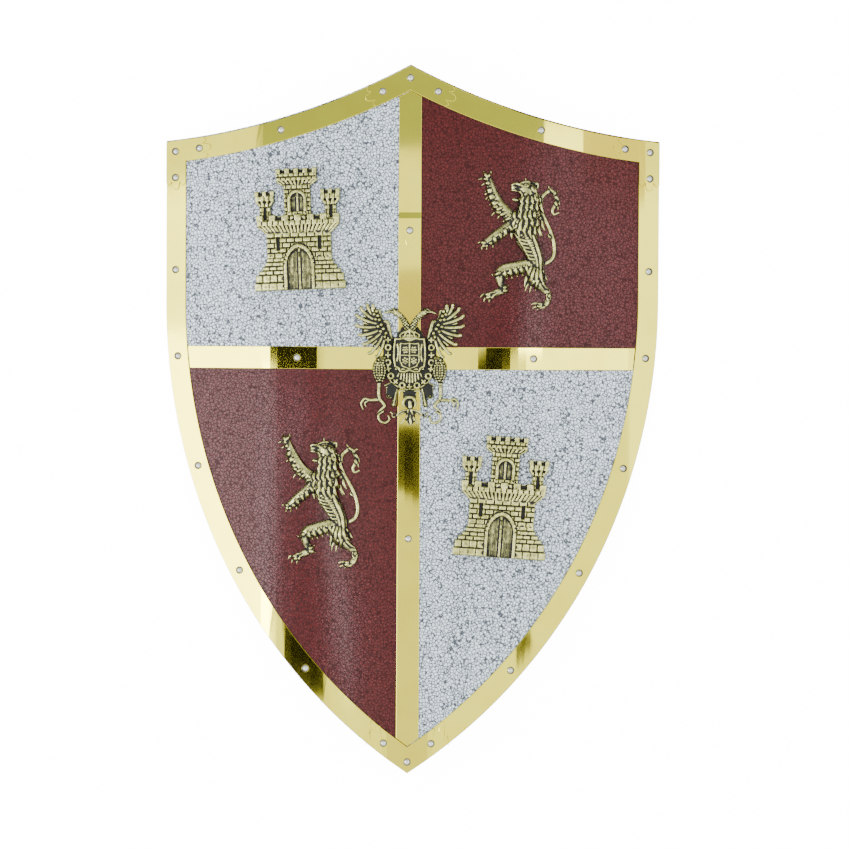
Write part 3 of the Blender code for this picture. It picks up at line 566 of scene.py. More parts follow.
def top_leg(leg, side):
    """Leg along the top edge, from the apex with side 1 and from the corner with -1."""
    centre = top_arc_centre()
    inset = TOP_MARGIN + sizes().border_width / 2
    start = 0 if side > 0 else sizes().half_width - SIDE_MARGIN - sizes().border_width / 2
    x, y = top_point(inset, start)
    return swept_end(centre, TOP_ARC_RADIUS + inset, atan2(y - centre.y, x - centre.x), side, leg)


def tip_leg(leg):
    centre = side_arc_centre()
    inset = SIDE_MARGIN + sizes().border_width / 2
    first = atan2(side_foot(inset)[1] - centre.y, -centre.x)
    return swept_end(centre, SIDE_ARC_RADIUS - inset, first, 1, leg)


def corner_side_leg(leg):
    half = sizes().border_width / 2
    start = corner_height(TOP_MARGIN + half, SIDE_MARGIN + half)
    middle = sizes().half_width - SIDE_MARGIN - half
    return [(middle - share * half, start - leg + back) for share, back in lobed_end()]


def corner_plate_outline():
    top_in, side_in = insets()
    reach = sizes().half_width
    leg = PLATE_LEG - sizes().border_width / 2
    outer = [(reach - SIDE_MARGIN, corner_height(TOP_MARGIN, SIDE_MARGIN))]
    inner = [(reach - side_in, corner_height(top_in, side_in))]
    return outer + corner_side_leg(leg) + inner + top_leg(leg, -1)[::-1]


def apex_plate_outline():
    top_in = insets()[0]
    leg = top_leg(PLATE_LEG, 1)
    outer = top_run(TOP_MARGIN, 0, leg[0][0], PLATE_STEPS)
    inner = top_run(top_in, leg[-1][0], 0, PLATE_STEPS)
    right = outer[:-1] + leg + inner[1:]
    return right + mirrored(right)[1:-1]


def tip_plate_outline():
    side_in = insets()[1]
    leg = tip_leg(PLATE_LEG)[::-1]
    steps = range(PLATE_STEPS)
    inner = [side_foot(side_in, leg[0][0] * step / PLATE_STEPS) for step in steps]
    outer = [side_foot(SIDE_MARGIN, leg[-1][0] * step / PLATE_STEPS) for step in reversed(steps)]
    right = inner + leg + outer
    return right + mirrored(right)[1:-1]


def cross_outlines():
    """Outlines of the crossbar and of the upright strip's lower two lengths."""
    half = sizes().cross_width / 2
    middle = CROSSBAR_HEIGHT - MIDDLE
    end = insets()[1] + PASS_GAP
    right = [side_point(end, middle + half), side_point(end, middle - half)]
    high = OVERLAP_END_HEIGHT - MIDDLE + OVERLAP_LENGTH
    low = middle + half + PASS_GAP
    upper = [(-half, low), (half, low), (half, high), (-half, high)]
    foot = [side_foot(end, half), side_foot(end, half / 2), side_foot(end)]
    below = middle - half - PASS_GAP
    lower = [(-half, below), (half, below)] + foot + mirrored(foot)[1:]
    return {"crossbar": right + mirrored(right), "upper_strip": upper, "lower_strip": lower}


def apex_strip_outline():
    half = sizes().cross_width / 2
    end = OVERLAP_END_HEIGHT - MIDDLE
    inset = insets()[0] + PASS_GAP
    top = [top_point(inset, 0), top_point(inset, half / 2), top_point(inset, half)]
    lobe = [(share * half, end + back) for share, back in lobed_end()]
    return top + lobe[::-1] + mirrored(top)[:-1]


def flat_plate(outline, base, thickness, bevel):
    """A plate of one outline with its front rim rounded; its back is material 1."""
    bm = bmesh.new()
    verts = [bm.verts.new((x, y, base)) for x, y in outline]
    back = bm.faces.new(verts)
    front = bmesh.ops.extrude_face_region(bm, geom=[back], use_keep_orig=True)["geom"]
    raised = [item for item in front if isinstance(item, bmesh.types.BMVert)]
    bmesh.ops.translate(bm, vec=(0, 0, thickness), verts=raised)
    back.material_index = 1
    bmesh.ops.recalc_face_normals(bm, faces=bm.faces)
    high = base + thickness - 1e-7
    rim = [edge for edge in bm.edges if all(vert.co.z > high for vert in edge.verts)]
    bmesh.ops.bevel(bm, geom=rim, offset=bevel, segments=2, profile=0.5, affect="EDGES", material=-1)
    return bm


def step_up(bm):
    """Lift the lower end of the apex strip over the strip below it."""
    step_end = OVERLAP_END_HEIGHT - MIDDLE + OVERLAP_LENGTH + PASS_GAP
    for share in (0, 0.25, 0.5, 0.75, 1):
        bisect(bm, (0, step_end + share * JOGGLE_LENGTH, 0), (0, 1, 0))
    for vert in bm.verts:
        share = min(1.0, max(0.0, 1 - (vert.co.y - step_end) / JOGGLE_LENGTH))
        vert.co.z += (PLATE_BASE - GAP) * (3 - 2 * share) * share ** 2


# Castings, shaped from beads in hundredths of the figure's height
BEAD_SPACING = 0.40
LIMB_LIFT = 0.35
NEAR_ROUNDS = 6
FAR_ROUNDS = 40
FAR_DEPTH = 0.9
PATINA_START = 0.30
# How much painted shade the steep sides and the low places next to the plate get
PAINTED_SHADE_SHARE = 0.75

LION_BODY = [
    [(4.2, 10.3, 8.3), (5.0, 1.8, 7.6), (9.6, -6.7, 6.6), (12.8, -14.5, 5.4), (13.1, -18.8, 5.2)],
    [(7.4, 34.4, 6.2), (6.6, 23.8, 7.6), (5.2, 13.1, 9.0)],
    [(5.6, 36.0, 5.8), (1.0, 38.0, 3.5), (-3.0, 37.6, 2.6)],
    [(5.3, 30.8, 3.8), (1.6, 29.0, 2.2), (-3.2, 28.8, 1.4)],
    [(-2.5, 15.2, 5.0), (-8.9, 19.5, 4.4), (-14.6, 25.6, 4.6), (-18.6, 34.4, 3.6), (-21.3, 42.2, 2.6),
     (-22.7, 45.4, 2.6)],
    [(-3.9, 13.8, 4.4), (-8.2, 8.9, 3.7), (-15.2, 3.9, 3.8), (-20.9, -0.4, 3.0), (-24.5, -2.5, 2.1)],
    [(12.4, -17.4, 4.6), (5.3, -17.7, 4.7), (-3.9, -19.9, 5.0), (-11.0, -21.6, 4.6), (-13.1, -25.2, 3.6),
     (-12.4, -30.1, 2.6), (-9.9, -34.4, 2.8)],
    [(-9.9, -35.1, 2.6), (-15.2, -36.9, 2.6), (-20.9, -39.0, 2.2)],
    [(13.3, -16.0, 4.6), (12.4, -22.3, 5.6), (13.8, -28.0, 5.2), (17.7, -33.3, 3.0), (21.3, -36.9, 2.3),
     (22.3, -39.7, 2.1)],
    [(22.3, -40.1, 2.2), (20.3, -44.7, 2.2), (16.0, -46.1, 1.8)],
]
LION_TAIL = [
    (14.5, -15.6, 1.4), (19.5, -16.0, 1.4), (24.1, -13.1, 1.5), (25.9, -8.2, 1.5), (25.5, -1.1, 1.5),
    (23.4, 6.0, 1.5), (20.2, 13.1, 1.4), (17.2, 19.5, 1.4), (16.0, 25.2, 1.4), (17.0, 30.8, 1.4),
    (20.6, 34.4, 1.4), (23.4, 35.1, 1.5), (25.9, 33.0, 1.5), (27.2, 28.7, 1.4), (25.9, 24.5, 1.4),
    (24.3, 21.6, 1.2), (25.5, 18.8, 1.0), (28.9, 20.0, 0.7),
]
LION_SPIKES = [
    [(-22.7, 45.0), (-24.4, 47.2), (-25.2, 48.9)], [(-21.3, 45.7), (-19.8, 47.4), (-20.0, 49.2)],
    [(-23.0, 43.2), (-26.4, 43.6), (-28.9, 42.8)], [(-22.0, 40.4), (-24.6, 40.0), (-26.6, 38.6)],
    [(-20.2, 35.5), (-22.4, 35.4), (-24.0, 34.4)], [(-19.1, 31.2), (-21.8, 30.6), (-23.6, 28.8)],
    [(-17.7, 26.6), (-19.6, 26.2), (-20.6, 24.5)], [(-16.3, 23.6), (-18.2, 23.2), (-19.4, 21.6)],
    [(-13.8, 19.8), (-17.4, 19.6), (-19.4, 17.0)], [(-11.7, 18.4), (-13.6, 17.4), (-14.8, 15.4)],
    [(-24.5, -1.9), (-27.0, -1.2), (-29.0, -2.2)], [(-24.8, -3.9), (-25.9, -5.2), (-26.1, -6.9)],
    [(-22.7, -3.9), (-22.5, -5.4), (-22.8, -6.9)], [(-19.9, -2.1), (-18.3, -3.2), (-18.2, -5.4)],
    [(-9.6, 6.7), (-10.0, 4.2), (-11.0, 2.0)], [(-13.1, 3.9), (-12.8, 2.2), (-13.1, 0.5)],
    [(-17.0, 0.9), (-17.0, -0.8), (-17.5, -2.6)],
    [(24.5, 35.1), (22.2, 37.2), (21.0, 39.5)], [(25.9, 33.7), (27.8, 35.0), (29.0, 34.6)],
    [(27.3, 30.8), (28.9, 28.4), (29.4, 25.4)], [(26.5, 27.0), (28.2, 24.0), (28.6, 22.0)],
    [(22.7, 2.8), (21.8, 3.6), (21.4, 5.0)], [(-20.9, -38.3), (-25.2, -38.4), (-26.8, -40.6)],
    [(-20.6, -40.1), (-23.6, -41.2), (-24.3, -43.7)], [(-18.4, -40.1), (-20.2, -42.0), (-20.7, -44.1)],
    [(-9.9, -35.5), (-7.8, -36.0), (-6.4, -37.1)], [(-9.9, -33.3), (-8.4, -32.8), (-6.8, -31.3)],
    [(-13.8, -23.0), (-17.2, -24.6), (-19.2, -24.0)], [(16.3, -45.0), (11.8, -44.4), (9.2, -45.4)],
    [(16.3, -46.4), (12.6, -46.8), (10.2, -48.3)], [(18.4, -47.1), (15.4, -47.8), (13.6, -49.2)],
    [(22.3, -39.0), (22.9, -38.4), (23.5, -37.9)], [(-10.3, -23.8), (-8.2, -25.4), (-7.7, -27.5)],
    [(-6.7, -23.0), (-4.8, -25.0), (-4.3, -27.3)], [(-2.5, -21.3), (-0.8, -22.4), (-0.3, -23.8)],
    [(1.6, -20.4), (3.2, -21.0), (4.0, -22.6)],
    [(8.9, -27.3), (6.4, -32.0), (5.1, -36.2)], [(11.0, -28.7), (9.2, -33.0), (8.2, -37.0)],
    [(13.5, -28.7), (12.6, -32.2), (12.5, -35.5)], [(16.3, -26.6), (18.4, -28.4), (19.6, -30.8)],
    [(17.4, -30.1), (19.8, -33.0), (22.8, -34.8)], [(15.2, -23.8), (16.8, -24.6), (18.0, -26.0)],
]
SPIKE_TAPER = (1.15, 0.85, 0.38)
MANE_ROWS = (
    # height of the roots, first and last place across, locks, length, lean
    (30.5, 2.6, 13.0, 4, 5.6, 0.8),
    (26.0, 0.6, 14.6, 5, 6.4, 1.4),
    (20.5, -2.2, 14.0, 6, 7.2, 1.6),
    (14.8, -4.0, 15.2, 6, 8.0, 1.8),
    (9.6, -3.4, 14.6, 6, 8.6, 2.0),
)
LOCK_ROWS = (
    # first and last root, first and last tip, locks, radius, sway
    ((-7.2, 15.5), (-20.2, 34.5), (-11.2, 12.9), (-24.2, 31.9), 6, 1.0, 0.5),
    ((-6.5, 9.7), (-17.5, 1.7), (-4.9, 5.1), (-15.9, -2.9), 4, 1.0, -0.5),
    ((5.5, -18.2), (-10.0, -21.4), (7.7, -24.6), (-7.8, -27.8), 5, 1.15, 0.5),
    ((8.8, -19.0), (17.6, -21.4), (4.4, -33.0), (21.2, -28.2), 5, 1.35, 0.5),
)


def bead_path(points):
    """Beads along a path of x, y and radius, closer together where it is thin."""
    path = [Vector(point) for point in points]
    beads = []
    for start, end in zip(path, path[1:]):
        distance = (end - start).xy.length
        count = max(1, round(distance / (BEAD_SPACING * min(start.z, end.z))))
        beads += [start.lerp(end, step / count) for step in range(count)]
    return beads + [path[-1]]


def curved(points, steps=5):
    """A smooth path through a few points, with their last number eased too."""
    path = [Vector(point) for point in points]
    path = [path[0]] + path + [path[-1]]
    smooth = []
    for a, b, c, d in zip(path, path[1:], path[2:], path[3:]):
        for step in range(steps):
            t = step / steps
            smooth.append(0.5 * ((2 * b) + (c - a) * t + (2 * a - 5 * b + 4 * c - d) * t ** 2
                                 + (3 * b - a - 3 * c + d) * t ** 3))
    return [tuple(point) for point in smooth] + [tuple(path[-1])]


def shape_arrays(bm):
    """Points and triangles of a small mesh, for copying many times."""
    bmesh.ops.triangulate(bm, faces=bm.faces)
    bm.verts.index_update()
    points = np.array([vert.co[:] for vert in bm.verts])
    corners = np.array([[vert.index for vert in face.verts] for face in bm.faces])
    bm.free()
    return points, corners


def unit_ball():
    bm = bmesh.new()
    bmesh.ops.create_icosphere(bm, subdivisions=2, radius=1.0)
    return shape_arrays(bm)


def unit_block():
    bm = bmesh.new()
    bmesh.ops.create_cube(bm, size=1.0)
    return shape_arrays(bm)


class Casting:
    """A relief gathered from beads and blocks and fused into one skin.

    Where side is -1, beads and strands go to the other side of the middle line.
    """

    def __init__(self):
        self.side = 1
        self.beads = []
        self.under = []
        self.blocks = []

    def limb(self, points):
        """A rounded limb that carries later strands."""
        for x, y, radius in bead_path(curved(points)):
            self.bead(x, y, LIMB_LIFT * radius, radius)
            self.under.append((self.side * x, y, LIMB_LIFT * radius, radius))

    def bead(self, x, y, height, radius):
        self.beads.append((self.side * x, y, height, radius, radius))

    def row(self, points, height):
        """A row of beads at one height."""
        for x, y, radius in bead_path(points):
            self.bead(x, y, height, radius)

    def bed(self, points, rise):
        """A low swell of a given rise behind the limbs, made dark by the painted shade given to low places.
        """
        for x, y, radius in bead_path(points):
            self.beads.append((self.side * x, y, 0, radius, rise))

    def settle(self):
        self.ground = np.array(self.under)

    def surface(self, x, y):
        """Height of the kept beads' skin over a place, or 0 beside them."""
        beads = self.ground
        room = beads[:, 3] ** 2 - (beads[:, 0] - self.side * x) ** 2 - (beads[:, 1] - y) ** 2
        over = room > 0
        if not over.any():
            return 0.0
        return float((beads[over, 2] + np.sqrt(room[over])).max())

    def strand(self, points, sink=0.35):
        """A thin strand that lies over the limbs."""
        for x, y, radius in bead_path(curved(points, 4)):
            height = max(self.surface(x, y) - sink * radius, 0.5 * radius)
            self.bead(x, y, height, radius)

    def ring(self, x, y, breadth, radius, rise, count):
        """A ring of beads round a place, all at the height of its middle."""
        height = self.surface(x, y) + rise
        for step in range(count):
            turn = 2 * pi * step / count
            self.bead(x + self.side * breadth * cos(turn), y + breadth * sin(turn), height, radius)

    def block(self, left, right, low, high, floor, front):
        middle = ((left + right) / 2, (low + high) / 2, (floor + front) / 2)
        size = (right - left, high - low, front - floor, 1)
        self.blocks.append(Matrix.Translation(middle) @ Matrix.Diagonal(size))

    def gathered(self, flatness):
        """All beads and blocks in one loose mesh, flattened."""
        points, corners, first = [], [], 0
        ball, ball_corners = unit_ball()
        for x, y, height, radius, rise in self.beads:
            points.append(ball * (radius, radius, rise) + np.array((x, y, height)))
            corners.append(ball_corners + first)
            first += len(ball)
        block, block_corners = unit_block()
        for matrix in self.blocks:
            turned = np.array(matrix)
            points.append(block @ turned[:3, :3].T + turned[:3, 3])
            corners.append(block_corners + first)
            first += len(block)
        loose = bpy.data.meshes.new("loose")
        places = np.concatenate(points) * (1, 1, flatness)
        loose.from_pydata(places.tolist(), [], np.concatenate(corners).tolist())
        return loose

    def fused(self, flatness, voxel, smoothing):
        """The fused flat-backed skin, as a mesh in hundredths of the height."""
        rough = bpy.data.objects.new("casting", self.gathered(flatness))
        bpy.context.scene.collection.objects.link(rough)
        fuse = rough.modifiers.new("fuse", "REMESH")
        fuse.mode = "VOXEL"
        fuse.voxel_size = voxel
        bpy.context.view_layer.update()
        evaluated = rough.evaluated_get(bpy.context.evaluated_depsgraph_get())
        skin = bpy.data.meshes.new_from_object(evaluated)
        bpy.data.objects.remove(rough, do_unlink=True)
        bm = bmesh.new()
        bm.from_mesh(skin)
        for _ in range(smoothing):
            bmesh.ops.smooth_vert(bm, verts=bm.verts, factor=0.4,
                                  use_axis_x=True, use_axis_y=True, use_axis_z=True)
        for vert in bm.verts:
            vert.co.z = max(vert.co.z, 0)
        for face in bm.faces:
            face.smooth = True
        bm.to_mesh(skin)
        bm.free()
        return skin


def rows_of(items, name, width, kind=np.float64):
    """What a mesh's points or edges hold under a name, one row for each."""
    values = np.empty(len(items) * width, dtype=kind)
    items.foreach_get(name, values)
    return values.reshape(-1, width)


def relaxed(places, pairs, rounds):
    """Each point moved to its neighbours' mean, a number of times."""
    count = np.bincount(pairs.ravel(), minlength=len(places)).clip(1)[:, None]
    for _ in range(rounds):
        total = np.zeros_like(places)
        for axis in range(3):
            total[:, axis] = (np.bincount(pairs[:, 0], places[pairs[:, 1], axis], len(places))
                              + np.bincount(pairs[:, 1], places[pairs[:, 0], axis], len(places)))
        places = total / count
    return places


def paint_patina_and_shade(mesh, depth, low, high):
    """Write the attribute that darkens the castings: 1 in hollows, on low places and on steep sides, 0 on
    rubbed high parts; real patina in the hollows, painted shade on the low places next to the plate and on
    the steep sides.
    """
    places = rows_of(mesh.vertices, "co", 3)
    normals = rows_of(mesh.vertices, "normal", 3)
    pairs = rows_of(mesh.edges, "vertices", 2, np.int64)
    near = ((relaxed(places, pairs, NEAR_ROUNDS) - places) * normals).sum(axis=1)
    far = ((relaxed(places, pairs, FAR_ROUNDS) - places) * normals).sum(axis=1)
    sunk = PATINA_START + near / depth + far / FAR_DEPTH
    # Painted shade: low places next to the plate and steep sides are darkened as if in shadow, added to the
    # patina of the hollows
    base = 1 - ((places[:, 2] - low) / (high - low)).clip(0, 1)
    steep_shade = (1 - normals[:, 2].clip(0, 1)) ** 2
    patina_and_shade = (sunk + base * PAINTED_SHADE_SHARE + steep_shade * PAINTED_SHADE_SHARE).clip(0, 1)
    layer = mesh.attributes.new("patina_and_shade", "FLOAT", "POINT")
    layer.data.foreach_set("value", patina_and_shade.astype(np.float32))


def placed_casting(node, skin, place, height, base):
    """Set a flat skin on the layout, bend it onto the shield and finish it."""
    across, middle, turn = place
    mesh = skin.copy()
    mesh.transform(Matrix.Translation((across, middle - MIDDLE, base)) @ Matrix.Rotation(turn, 4, "Z")
                   @ Matrix.Scale(height / 100, 4))
    places = rows_of(mesh.vertices, "co", 3)
    angle = places[:, 0] / sizes().bow_radius
    reach = places[:, 2] + sizes().bow_radius
    bent = np.stack([reach * np.sin(angle), places[:, 1], reach * np.cos(angle) - edge_drop()], axis=1)
    mesh.vertices.foreach_set("co", bent.ravel())
    finished_mesh("cast_" + node, mesh, [cast_material()], node)


def cast_material():
    return bpy.data.materials.get("antique_brass") or antique_brass()


def lion_skin():
    lion = Casting()
    for limb in LION_BODY:
        lion.limb(limb)
    lion.limb(LION_TAIL)
    lion.settle()
    for points in LION_SPIKES:
        lion.strand([(*point, radius) for point, radius in zip(points, SPIKE_TAPER)], sink=0.1)
    lion_mane(lion)
    lion_head(lion)
    lion_hair(lion)
    skin = lion.fused(flatness=0.62, voxel=0.34, smoothing=2)
    paint_patina_and_shade(skin, depth=0.16, low=0.4, high=3.6)
    return skin


def lock(lion, x, y, tip_x, tip_y, radius, sway=0.5):
    """A pointed lock that hangs from its root over what lies below."""
    middle = ((x + tip_x) / 2 - sway, (y + tip_y) / 2, radius)
    lion.strand([(x, y, radius * 0.55), middle, (tip_x, tip_y, radius * 0.25)], sink=-0.25)


def lion_mane(lion):
    for row, (height, first, last, count, length, lean) in enumerate(MANE_ROWS):
        for number in range(count):
            share = number / (count - 1)
            x = first + (last - first) * share + 1.5 * (row % 2)
            fall = length * (0.85 + 0.15 * sin(1.7 * number + 2 * row))
            drift = lean * (share - 0.3) * 2
            lock(lion, x, height + 0.6 * sin(2.1 * number + row), x + drift, height - fall, 1.3, 0.9)
    for x, y, tip_x, tip_y in ((13.6, 27.0, 16.4, 21.5), (13.4, 19.5, 16.6, 13.5), (12.0, 11.0, 15.8, 2.6),
                               (13.4, 33.0, 15.4, 27.5)):
        lock(lion, x, y, tip_x, tip_y, 1.1, -0.6)


def lion_head(lion):
    lion.strand([(1.0, 40.4, 0.9), (5.3, 41.4, 1.1), (9.6, 41.0, 1.1), (12.6, 40.2, 1.0)], sink=0.0)
    lion.strand([(5.0, 41.6, 0.9), (5.0, 44.2, 0.5)], sink=0.2)
    lion.strand([(11.0, 39.6, 1.5), (13.4, 40.2, 1.2), (13.6, 37.6, 0.8)], sink=0.0)
    lion.strand([(-4.6, 39.4, 1.0), (-1.6, 40.2, 1.1), (2.0, 38.8, 0.8)], sink=0.0)
    lion.strand([(-4.8, 35.6, 0.9), (-1.6, 35.2, 0.8), (1.4, 33.6, 0.9), (1.8, 30.8, 0.9),
                 (-0.6, 28.6, 0.8), (-4.2, 29.2, 0.7)], sink=0.0)
    lion.bead(6.0, 38.6, lion.surface(6.0, 38.6) + 0.2, 0.9)
    for number in range(5):
        angle = radians(-75 + 36 * number)
        x, y = 8.4 + 4.2 * cos(angle), 33.4 + 4.2 * sin(angle)
        lock(lion, x - 0.8, y + 1.4, x + 0.8, y - 3.4, 1.0)


def lion_hair(lion):
    for rib in range(6):
        start = (-3.6 + 1.9 * rib, 5.0 - 3.1 * rib)
        end = (4.4 + 1.3 * rib, -0.4 - 2.6 * rib)
        middle = ((start[0] + end[0]) / 2 - 0.4, (start[1] + end[1]) / 2 - 1.2)
        lion.strand([(*start, 0.5), (*middle, 0.75), (*end, 0.35)], sink=-0.1)
    lion.strand([(9.6, 3.0, 1.4), (12.4, -4.0, 1.6), (15.0, -12.0, 1.5), (15.4, -20.0, 1.0)], sink=0.3)
    for first, last, first_tip, last_tip, count, radius, sway in LOCK_ROWS:
        for number in range(count):
            share = number / (count - 1)
            root = Vector(first).lerp(Vector(last), share)
            tip = Vector(first_tip).lerp(Vector(last_tip), share)
            lock(lion, *root, *tip, radius, sway)
    for x, y, tip_x, tip_y in ((20.6, -38.0, 21.4, -42.6), (-17.0, -36.6, -21.4, -37.4),
                               (-15.0, -37.6, -18.6, -40.0)):
        lock(lion, x, y, tip_x, tip_y, 0.6)


EAGLE_HALF = [
    [(1.8, 27.7, 3.7), (3.9, 34.3, 2.8), (8.1, 39.9, 2.4), (12.5, 42.8, 2.5)],
    [(13.6, 43.2, 2.0), (17.7, 42.8, 1.2), (20.9, 41.4, 0.6)],
    [(15.5, 21.1, 2.0), (17.0, 28.4, 1.9), (18.6, 33.9, 2.1), (20.4, 34.4, 1.9)],
    [(20.2, 33.0, 1.8), (22.8, 34.0, 1.9), (24.4, 38.6, 2.1), (24.9, 43.4, 1.5)],
    [(21.4, 4.1, 3.2), (24.3, -1.0, 5.8), (24.3, -7.7, 5.3), (24.3, -12.8, 2.4)],
    [(24.7, -13.6, 1.7), (25.1, -21.7, 1.45), (24.7, -27.6, 1.7)],
    [(24.7, -28.3, 1.6), (32.1, -28.9, 1.35), (36.5, -27.9, 1.35), (39.4, -32.0, 1.0), (37.6, -36.6, 0.5)],
    [(33.2, -28.8, 1.2), (36.2, -31.4, 0.9), (35.4, -34.4, 0.5)],
    [(24.3, -28.3, 1.6), (20.3, -33.1, 1.5), (22.6, -36.0, 1.1), (25.4, -38.6, 0.8)],
    [(21.2, -38.0, 0.9), (25.2, -41.0, 1.05), (24.0, -45.6, 1.1), (19.6, -47.2, 1.1), (16.3, -44.6, 1.0),
     (17.2, -41.6, 0.8)],
    [(10.0, -17.0, 1.6), (11.1, -23.1, 1.3), (12.0, -28.3, 1.9), (12.8, -32.4, 2.3)],
    [(1.1, -37.1, 1.5), (6.3, -39.0, 1.5), (9.9, -41.4, 0.9)],
    [(1.1, -40.8, 1.2), (4.1, -44.5, 1.1), (6.8, -47.8, 0.7)],
]
EAGLE_BEDS = [
    # rise, then points beside the middle
    (2.0, [(0, 22.0, 11.0), (0, 8.0, 16.5), (0, -3.0, 16.5), (0, -8.0, 12.0)]),
    (1.8, [(16.0, 20.0, 4.0), (20.0, 24.0, 4.5), (27.0, 32.0, 7.0), (31.0, 38.0, 7.0), (31.0, 41.0, 6.0)]),
    (1.8, [(22.0, 19.0, 4.0), (28.0, 21.0, 5.5), (33.0, 28.0, 6.5)]),
    (1.8, [(10.0, -16.0, 4.5), (15.0, -20.5, 4.5), (16.0, -25.0, 3.0)]),
    (1.6, [(0, -24.0, 6.0), (0, -31.0, 5.0)]),
    (1.5, [(17.5, 18.0, 4.0), (18.0, 6.0, 4.2), (17.0, -2.0, 4.2), (14.0, -9.0, 4.0)]),
    (1.4, [(21.5, 3.0, 4.5), (22.0, -8.0, 5.0)]),
]
FEATHER_TIPS = [
    (30.6, 47.6), (35.2, 47.8), (40.2, 45.0), (43.4, 38.8), (43.2, 30.8), (40.6, 23.0),
    (36.8, 15.8), (32.0, 8.6), (26.0, 6.0),
]
COLLAR_LINKS = 17
LINK_RADIUS = 2.1
LINK_HEIGHT = 3.4
LINK_BEAD = 0.95


def eagle_skin():
    eagle = Casting()
    for eagle.side in (-1, 1):
        for rise, points in EAGLE_BEDS:
            eagle.bed(points, rise)
        for limb in EAGLE_HALF:
            eagle.limb(limb)
    eagle.limb([(0, -26.0, 2.0), (0.6, -36.0, 2.2), (1.0, -44.5, 1.9), (1.0, -48.2, 1.1)])
    eagle.settle()
    for eagle.side in (-1, 1):
        eagle_wing(eagle)
        eagle_head(eagle)
        eagle_leg(eagle)
        eagle_tail(eagle)
    eagle_cartouche(eagle)
    eagle_crown(eagle)
    eagle_collar(eagle)
    skin = eagle.fused(flatness=0.72, voxel=0.36, smoothing=2)
    paint_patina_and_shade(skin, depth=0.16, low=0.6, high=4.0)
    return skin


def eagle_wing(eagle):
    """Long feathers with thin ribs between them, and two rows of short ones."""
    count = len(FEATHER_TIPS)
    for number, place in enumerate(FEATHER_TIPS):
        share = number / (count - 1)
        root = Vector((27.4, 38.0)).lerp(Vector((19.6, 23.5)), share)
        tip = Vector(place)
        out = (tip - root).normalized()
        across = Vector((-out.y, out.x))
        middle = (root + tip) / 2 - across * 0.8
        reach = tip - out * 1.2
        eagle.row(curved([(*root, 0.9), (*middle, 1.25), (*reach, 1.5)], 4), 2.2)
        curl = tip + across * 0.9
        eagle.bead(curl.x, curl.y, 2.8, 1.6)
        if number:
            before = Vector(FEATHER_TIPS[number - 1])
            half = root + ((tip + before) / 2 - root) * 0.72
            eagle.row([(*root, 0.8), (*half, 0.9)], 1.6)
    for row, (reach, size) in enumerate(((1.6, 1.5), (4.8, 1.35))):
        for number in range(6):
            share = number / 5
            root = Vector((26.0, 42.0)).lerp(Vector((18.6, 27.0)), share)
            tip = Vector(FEATHER_TIPS[min(count - 1, round(share * (count - 1)))])
            place = root + (tip - root).normalized() * reach
            eagle.bead(place.x, place.y, 3.5 - 0.5 * row, size)


def eagle_head(eagle):
    """Eye, brow, beak line and the neck's short feathers."""
    eagle.bead(12.2, 43.6, eagle.surface(12.2, 43.6), 0.6)
    eagle.strand([(9.4, 45.0, 0.4), (12.4, 45.4, 0.6), (15.6, 44.4, 0.4)], sink=0.0)
    eagle.strand([(14.0, 42.6, 0.4), (17.8, 42.4, 0.4), (20.6, 41.2, 0.3)], sink=-0.3)
    path = curved([(1.8, 27.7, 3.4), (3.9, 34.3, 2.6), (8.1, 39.9, 2.2), (11.5, 42.4, 2.2)], 4)
    for number, (x, y, radius) in enumerate(path):
        for shift in (-0.62, 0.0, 0.62):
            offset = shift + (0.3 if number % 2 else -0.02)
            place = (x + offset * radius * 0.8, y - offset * radius * 0.7)
            eagle.bead(*place, eagle.surface(*place) + 0.05, 0.72)


def eagle_leg(eagle):
    """Feathered thigh and the rings of the shank."""
    for row in range(9):
        y = 3.6 - 2.1 * row
        half = 4.6 * sin(pi * (row + 1.6) / 11.5)
        count = max(2, round(half / 0.85))
        for number in range(count):
            x = 24.2 - (1.2 if row == 0 else 0) + half * (2 * number / (count - 1) - 1)
            eagle.bead(x, y + 0.4 * (number % 2), eagle.surface(x, y) + 0.15, 0.85)
    for number in range(4):
        fall = 3.2 * number
        eagle.strand([(23.4, -15.5 - fall, 0.4), (26.6, -15.9 - fall, 0.4)])


